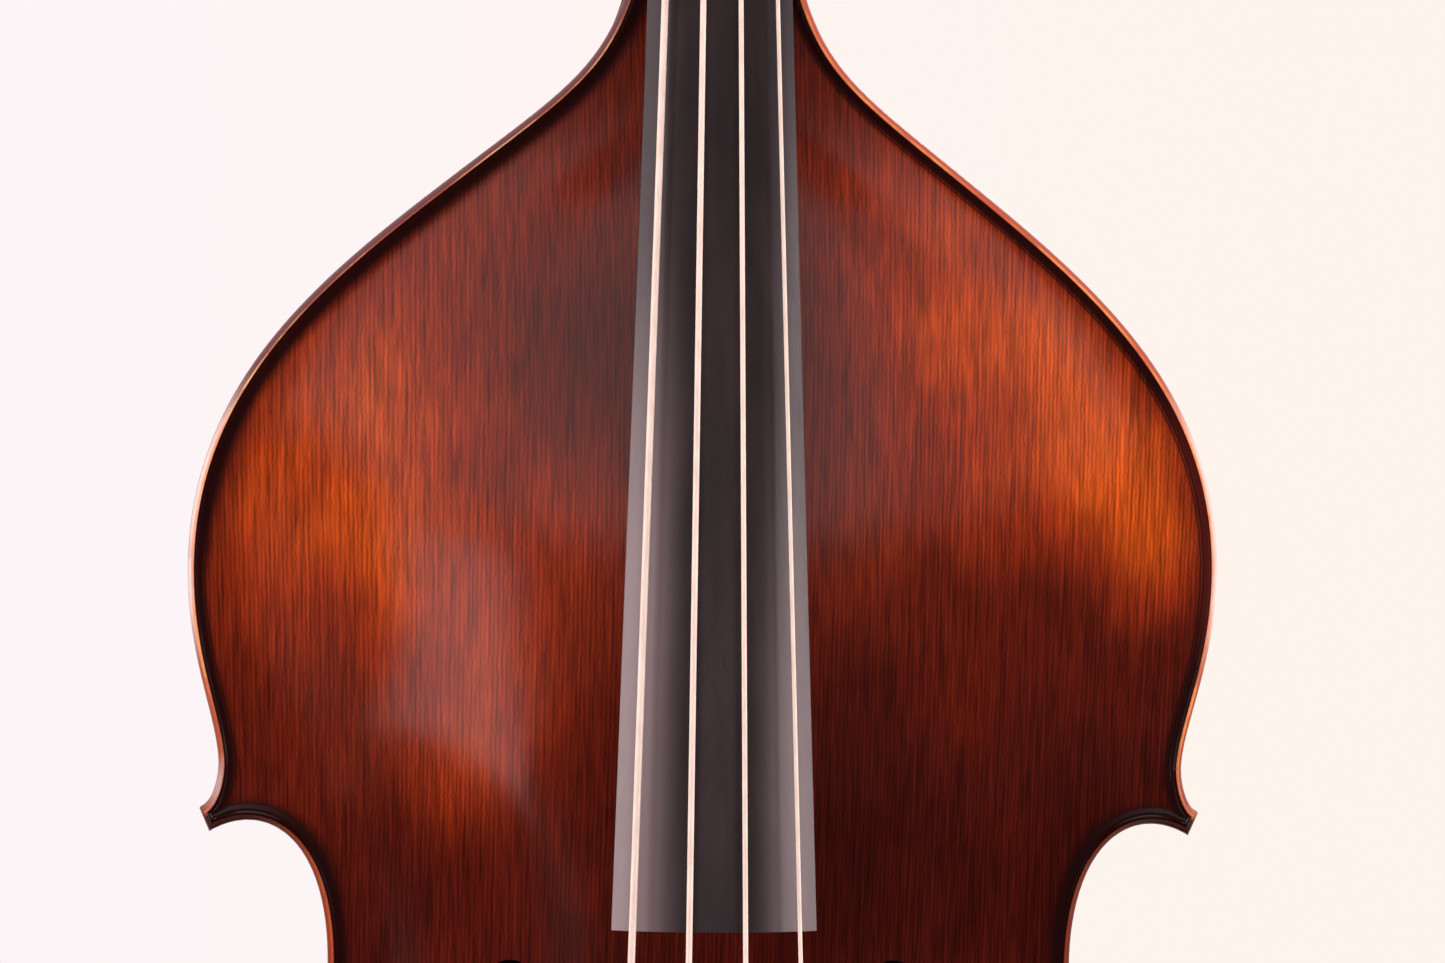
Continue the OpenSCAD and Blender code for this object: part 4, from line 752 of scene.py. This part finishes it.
def maple_material(name, stripe, edge=False):
    """Flamed maple: soft stripes across the length of the piece, which runs upward."""
    m = Mat(name)
    fibre = m.noise(1.0, 5.0, 0.6, (260, 260, 6))
    flame = m.noise(1.0, 3.0, 0.5, (5, 5, stripe), 0.6)
    cloud = m.noise(4.5, 3.0, 0.5)
    base = m.mix(m.step(cloud, 0.3, 0.7), (0.075, 0.01, 0.005), (0.15, 0.024, 0.009))
    color = m.mix(m.step(flame, 0.38, 0.66, 0.0, 0.5), base, (0.3, 0.06, 0.018))
    color = m.shaded(color, m.line(fibre, 0.25, 0.75, 0.8, 1.15))
    if edge:
        e = m.attr("edge_d")
        hollow = m.times(m.step(e, 4.6, 6.4), m.step(e, 10.5, 30.0, 1.0, 0.0))
        color = m.mix(m.times(hollow, 0.75), color, (0.016, 0.004, 0.003))
        wear = m.times(m.step(e, 4.0, 5.4, 1.0, 0.0), m.step(m.noise(60.0, 5.0, 0.6), 0.4, 0.62))
        color = m.mix(wear, color, (0.45, 0.14, 0.06))
    dirt = m.step(m.noise(28.0, 4.0, 0.65), 0.55, 0.75, 0.0, 0.35)
    color = m.mix(dirt, color, (0.05, 0.01, 0.007))
    rough = m.line(m.noise(45.0, 4.0, 0.6), 0.2, 0.8, 0.26, 0.42)
    normal = m.bump(fibre, 0.00008, 0.5)
    return m.done(color=color, rough=rough, normal=normal, spec=0.35, coat=0.15, coat_rough=0.18)


def plain_wood(name, dark, light, stretch, rough0=0.5):
    m = Mat(name)
    fibre = m.noise(1.0, 5.0, 0.6, stretch)
    ring = m.noise(1.0, 3.0, 0.5, tuple(s*0.22 for s in stretch))
    fleck = m.step(m.noise(1.0, 2.0, 0.5, tuple(s*2.2 for s in stretch)), 0.6, 0.72, 0.0, 0.35)
    color = m.mix(m.step(ring, 0.3, 0.7), dark, light)
    color = m.mix(m.step(fibre, 0.5, 0.8, 0.0, 0.5), color, tuple(0.6*c for c in dark))
    color = m.mix(fleck, color, tuple(0.75*c for c in dark))
    rough = m.line(fibre, 0.2, 0.8, rough0 - 0.07, rough0 + 0.1)
    return m.done(color=color, rough=rough, normal=m.bump(fibre, 0.0001, 0.5), spec=0.3)


def ebony_material():
    m = Mat("ebony_satin")
    pore = m.noise(1.0, 5.0, 0.65, (700, 700, 16))
    streak = m.noise(1.0, 4.0, 0.55, (60, 60, 1.6))
    smear = m.noise(10.0, 4.0, 0.6, (1, 1, 0.25))
    color = m.mix(m.step(streak, 0.3, 0.75), (0.012, 0.007, 0.0075), (0.026, 0.015, 0.016))
    color = m.mix(m.step(pore, 0.56, 0.7, 0.0, 0.6), color, (0.007, 0.005, 0.005))
    color = m.mix(m.step(smear, 0.5, 0.75, 0.0, 0.25), color, (0.07, 0.05, 0.05))
    # painted reflection: lighter bands along the sides of the board, most on the bass side towards its end
    half = m.line(m.z, 0.8, 1.7, 0.048, 0.0205)
    off = m.plus(m.math("DIVIDE", m.x, half), m.line(smear, 0.2, 0.8, -0.06, 0.06))
    left = m.times(m.step(off, -0.95, -0.3, 1.0, 0.0), m.step(m.z, 0.98, 1.2, 1.0, 0.05))
    right = m.times(m.step(off, 0.3, 0.9, 0.0, 0.5), m.step(m.z, 0.9, 1.1, 1.0, 0.0))
    painted_side_sheen = m.times(m.math("MAXIMUM", left, right), m.step(m.z, 0.7, 0.72))
    color = m.mix(painted_side_sheen, color, (0.2, 0.14, 0.15))
    rough = m.plus(m.line(smear, 0.2, 0.8, 0.3, 0.42), m.line(pore, 0.3, 0.7, -0.03, 0.06))
    return m.done(color=color, rough=rough, normal=m.bump(pore, 0.00007, 0.6), spec=0.33,
                  tint=(1.0, 0.86, 0.94, 1))


# pitch of the wrapping wire, in millimetres
WRAP_PITCH = 0.55


def string_material():
    m = Mat("string_wrap")
    run = m.attr("run")
    turn = m.math("SINE", m.times(run, 2*math.pi/WRAP_PITCH))
    wear = m.noise(1.0, 4.0, 0.6, (300, 300, 22))
    color = m.mix(m.step(wear, 0.35, 0.7), (0.93, 0.73, 0.66), (0.82, 0.61, 0.54))
    color = m.mix(m.line(turn, -1.0, 1.0, 0.2, 0.0), color, (0.5, 0.34, 0.28))
    rough = m.line(wear, 0.2, 0.8, 0.3, 0.45)
    return m.done(color=color, rough=rough, normal=m.bump(turn, 0.00006, 0.4), metal=0.1, spec=0.4)


def metal_material(name, clean, dull, rough0):
    m = Mat(name)
    tarnish = m.noise(38.0, 5.0, 0.65)
    fine = m.noise(1.0, 3.0, 0.6, (40, 40, 900))
    color = m.mix(m.step(tarnish, 0.38, 0.72), clean, dull)
    color = m.mix(m.step(fine, 0.55, 0.8, 0.0, 0.3), color, tuple(0.55*c for c in dull))
    rough = m.plus(m.line(tarnish, 0.3, 0.75, rough0, rough0 + 0.2), m.line(fine, 0.3, 0.7, 0.0, 0.08))
    return m.done(color=color, rough=rough, normal=m.bump(fine, 0.00003, 0.4), metal=1.0)


def rubber_material():
    m = Mat("rubber_black")
    grit = m.noise(900.0, 3.0, 0.6)
    scuff = m.noise(70.0, 5.0, 0.65)
    color = m.mix(m.step(scuff, 0.45, 0.75), (0.012, 0.012, 0.012), (0.05, 0.047, 0.044))
    rough = m.line(scuff, 0.3, 0.7, 0.6, 0.85)
    return m.done(color=color, rough=rough, normal=m.bump(grit, 0.0001, 0.5), spec=0.3)


SPRUCE = spruce_material()
MAPLE_BACK = maple_material("flamed_maple_back", 70.0, True)
MAPLE_SIDE = maple_material("flamed_maple_ribs", 70.0)
MAPLE_NECK = maple_material("flamed_maple_neck", 90.0)
INNER = plain_wood("bare_spruce", (0.36, 0.22, 0.1), (0.62, 0.43, 0.23), (330, 330, 10), 0.6)
BRIDGE = plain_wood("bridge_maple", (0.5, 0.29, 0.13), (0.68, 0.45, 0.24), (12, 300, 420), 0.45)
EBONY = ebony_material()
STRING = string_material()
BRASS = metal_material("aged_brass", (0.72, 0.5, 0.2), (0.36, 0.22, 0.08), 0.26)
STEEL = metal_material("bright_steel", (0.62, 0.62, 0.64), (0.34, 0.33, 0.33), 0.22)
RUBBER = rubber_material()


# how far apart points are joined, in metres, and the bends that stay sharp, in degrees
WELD_GAP = 0.00002
SHARP = 28
NECK_SHARP = 40


def smoother(angle):
    """Joins the seams between CAD faces and shades all but the sharp edges smooth."""
    tree = bpy.data.node_groups.new("smooth_%d" % angle, "GeometryNodeTree")
    tree.interface.new_socket("Geometry", in_out="INPUT", socket_type="NodeSocketGeometry")
    tree.interface.new_socket("Geometry", in_out="OUTPUT", socket_type="NodeSocketGeometry")
    add = tree.nodes.new
    first, last = add("NodeGroupInput"), add("NodeGroupOutput")
    weld = add("GeometryNodeMergeByDistance")
    weld.inputs["Distance"].default_value = WELD_GAP
    soft, hard = add("GeometryNodeSetShadeSmooth"), add("GeometryNodeSetShadeSmooth")
    hard.domain = "EDGE"
    hard.inputs["Shade Smooth"].default_value = False
    bend = add("GeometryNodeInputMeshEdgeAngle")
    over = add("FunctionNodeCompare")
    over.operation = "GREATER_THAN"
    over.inputs[1].default_value = math.radians(angle)
    join = tree.links.new
    join(first.outputs[0], weld.inputs["Geometry"])
    join(weld.outputs[0], soft.inputs["Geometry"])
    join(soft.outputs[0], hard.inputs["Geometry"])
    join(bend.outputs["Unsigned Angle"], over.inputs[0])
    join(over.outputs[0], hard.inputs["Selection"])
    join(hard.outputs[0], last.inputs[0])
    return tree


SMOOTH = {a: smoother(a) for a in (SHARP, NECK_SHARP)}


def dress(ob, mat, bevel=0.0, angle=SHARP):
    """Gives a piece its material, and a CAD node also smooth shading and softened edges."""
    ob.data.materials.clear()
    ob.data.materials.append(mat)
    if ob.name not in nodes:
        return
    ob.modifiers.new("joined_faces", "NODES").node_group = SMOOTH[angle]
    if bevel:
        b = ob.modifiers.new("soft_edges", "BEVEL")
        b.width = bevel
        b.segments = 2
        b.limit_method = "ANGLE"
        b.angle_limit = math.radians(angle)


INNER_PIECES = ("neck_block", "end_block", "corner_blocks", "front_linings", "back_linings", "bass_bar",
                "sound_post")
EBONY_PIECES = ("fingerboard", "nut", "saddle", "tailpiece", "endpin_plug")
STEEL_PIECES = ("tail_wire", "endpin_collar", "thumb_screw", "endpin_rod")
# widths of the softened edges, in metres
NECK_EDGE = 0.0012
WOOD_EDGE = 0.0008
METAL_EDGE = 0.0003

dress(top, SPRUCE)
dress(back, MAPLE_BACK)
for ob in strings:
    dress(ob, STRING)
for name, ob in nodes.items():
    if "rib_" in name:
        dress(ob, MAPLE_SIDE)
    elif name == "neck":
        dress(ob, MAPLE_NECK, NECK_EDGE, NECK_SHARP)
    elif name in INNER_PIECES:
        dress(ob, INNER)
    elif name in EBONY_PIECES:
        dress(ob, EBONY, WOOD_EDGE)
    elif name == "bridge":
        dress(ob, BRIDGE, WOOD_EDGE)
    elif name in STEEL_PIECES or name.startswith("gear_screw"):
        dress(ob, STEEL, METAL_EDGE)
    elif name == "endpin_foot":
        dress(ob, RUBBER, WOOD_EDGE)
    elif name == "top_plate":
        dress(ob, SPRUCE)
    elif name == "back_plate":
        dress(ob, MAPLE_BACK)
    elif name.startswith("string_") and name != "string_balls":
        dress(ob, STRING)
    elif name.startswith("worm_"):
        dress(ob, BRASS)
    else:
        dress(ob, BRASS, METAL_EDGE)


# Floor, world and lamps.
def floor_material():
    m = Mat("pale_floor")
    grain = m.noise(3.0, 4.0, 0.5)
    color = m.mix(m.step(grain, 0.3, 0.7), (0.68, 0.665, 0.65), (0.72, 0.705, 0.69))
    # greyer under the lamps at both sides, so that the floor looks even and doesn't clip
    for x in (-2.1, 2.1):
        under_lamp = m.times(m.blob((x, -0.7, 0), (1.7, 1.5, 1)), 0.9)
        color = m.mix(under_lamp, color, (0.34, 0.33, 0.325))
    return m.done(color=color, rough=m.line(grain, 0.3, 0.7, 0.6, 0.75), spec=0.2)


FLOOR_X = 4
FLOOR_FRONT = -1.3
FLOOR_BACK = 2.6
mesh = bpy.data.meshes.new("floor")
mesh.from_pydata([(-FLOOR_X, FLOOR_FRONT, 0), (FLOOR_X, FLOOR_FRONT, 0), (FLOOR_X, FLOOR_BACK, 0),
                  (-FLOOR_X, FLOOR_BACK, 0)], [], [(0, 1, 2, 3)])
floor = bpy.data.objects.new("floor", mesh)
scene.collection.objects.link(floor)
floor.data.materials.append(floor_material())

world = bpy.data.worlds.new("studio")
scene.world = world
world.use_nodes = True
sky = world.node_tree
sky.nodes.clear()
path = sky.nodes.new("ShaderNodeLightPath")
way = sky.nodes.new("ShaderNodeSeparateXYZ")
sky.links.new(sky.nodes.new("ShaderNodeTexCoord").outputs["Generated"], way.inputs[0])


def background(color, strength):
    """Light of one colour. Its strength is a number or comes from a node."""
    node = sky.nodes.new("ShaderNodeBackground")
    node.inputs["Color"].default_value = (*color, 1)
    if isinstance(strength, float):
        node.inputs["Strength"].default_value = strength
    else:
        sky.links.new(strength, node.inputs["Strength"])
    return node.outputs[0]


def either(fac, a, b):
    """The first light where fac is 0 and the second where it is 1."""
    node = sky.nodes.new("ShaderNodeMixShader")
    for socket, value in zip(node.inputs, (fac, a, b)):
        sky.links.new(value, socket)
    return node.outputs[0]


# white cove behind the object, a darker room in front of it
cove = sky.nodes.new("ShaderNodeMapRange")
cove.interpolation_type = "SMOOTHSTEP"
sky.links.new(way.outputs["Y"], cove.inputs[0])
for k, v in zip((1, 2, 3, 4), (-0.5, 0.2, 0.04, 1.0)):
    cove.inputs[k].default_value = v
seen = sky.nodes.new("ShaderNodeMath")
seen.operation = "MAXIMUM"
sky.links.new(path.outputs["Is Camera Ray"], seen.inputs[0])
sky.links.new(path.outputs["Is Transmission Ray"], seen.inputs[1])
lit = either(path.outputs["Is Glossy Ray"], background((1.0, 0.97, 0.95), 0.5),
             background((1.0, 0.95, 0.92), cove.outputs[0]))
warm = sky.nodes.new("ShaderNodeMapRange")
sky.links.new(way.outputs["X"], warm.inputs[0])
for k, v in zip((1, 2), (-0.12, 0.22)):
    warm.inputs[k].default_value = v
wall = either(warm.outputs[0], background((0.98, 0.905, 0.925), 1.0), background((0.985, 0.9, 0.835), 1.0))
lit = either(seen.outputs[0], lit, wall)
sky.links.new(lit, sky.nodes.new("ShaderNodeOutputWorld").inputs[0])


def lamp(name, at, aim, size, power, color=(1, 0.96, 0.92), roll=0.0):
    """A soft rectangular lamp that the camera doesn't see."""
    data = bpy.data.lights.new(name, "AREA")
    data.shape = "RECTANGLE"
    data.size, data.size_y = size
    data.energy = power
    data.color = color
    ob = bpy.data.objects.new(name, data)
    ob.location = at
    turned = (Vector(aim) - Vector(at)).to_track_quat("-Z", "Y").to_matrix() @ Matrix.Rotation(roll, 3, "Z")
    ob.rotation_euler = turned.to_euler()
    ob.visible_camera = False
    scene.collection.objects.link(ob)
    return ob


lamp("soft_left", (-2.4, -1.3, 1.9), (0, 0, 1.05), (1.4, 1.6), 24)
lamp("soft_right", (2.4, -1.1, 1.15), (0, 0, 1.0), (1.4, 1.0), 25)
lamp("soft_top", (0.1, -1.7, 3.6), (0, 0, 0.8), (2.4, 1.2), 34)
lamp("soft_back", (0.3, 2.8, 2.4), (0, 0, 0.8), (2.4, 1.6), 40)
# tall strips at both sides draw a light line along the rim
lamp("rim_left", (-2.1, -0.45, 1.05), (-0.1, -0.1, 1.05), (0.3, 1.4), 14)
lamp("rim_right", (2.1, -0.45, 1.1), (0.1, -0.1, 1.1), (0.3, 1.4), 12, (1, 0.9, 0.85))
# dim reflectors behind the camera, seen only as soft sheen in the varnish
lamp("sheen_left", (-0.95, -2.45, 0.5), (-0.12, -0.1, 0.95), (0.24, 0.8), 1.75, (1, 0.97, 1), roll=-0.3)
lamp("sheen_wide", (-0.08, -2.9, 1.43), (-0.1, -0.1, 1.2), (2.3, 1.0), 9.0, (1, 0.97, 1))
lamp("sheen_right", (1.25, -2.9, 1.43), (0.1, -0.1, 1.2), (0.36, 1.0), 0.75, (1, 0.97, 1))

# Camera at the photograph's place: a long lens from the front, a little to the left and above.
cam_data = bpy.data.cameras.new("photo_camera")
cam_data.lens = 76.9
cam_data.sensor_width = 36
cam_data.clip_end = 50
cam = bpy.data.objects.new("photo_camera", cam_data)
eye = Vector((-0.0745, -1.6391, 1.2166))
aim = Vector((0.0071, -0.108, 1.0419))
upright = Vector((-0.01024, 0.11389, 0.99344))
look = (aim - eye).normalized()
side = look.cross(upright).normalized()
up = side.cross(look)
turned = Matrix((side, up, -look)).transposed()
cam.matrix_world = Matrix.Translation(eye) @ turned.to_4x4()
scene.collection.objects.link(cam)
scene.camera = cam
scene.view_settings.view_transform = "Standard"
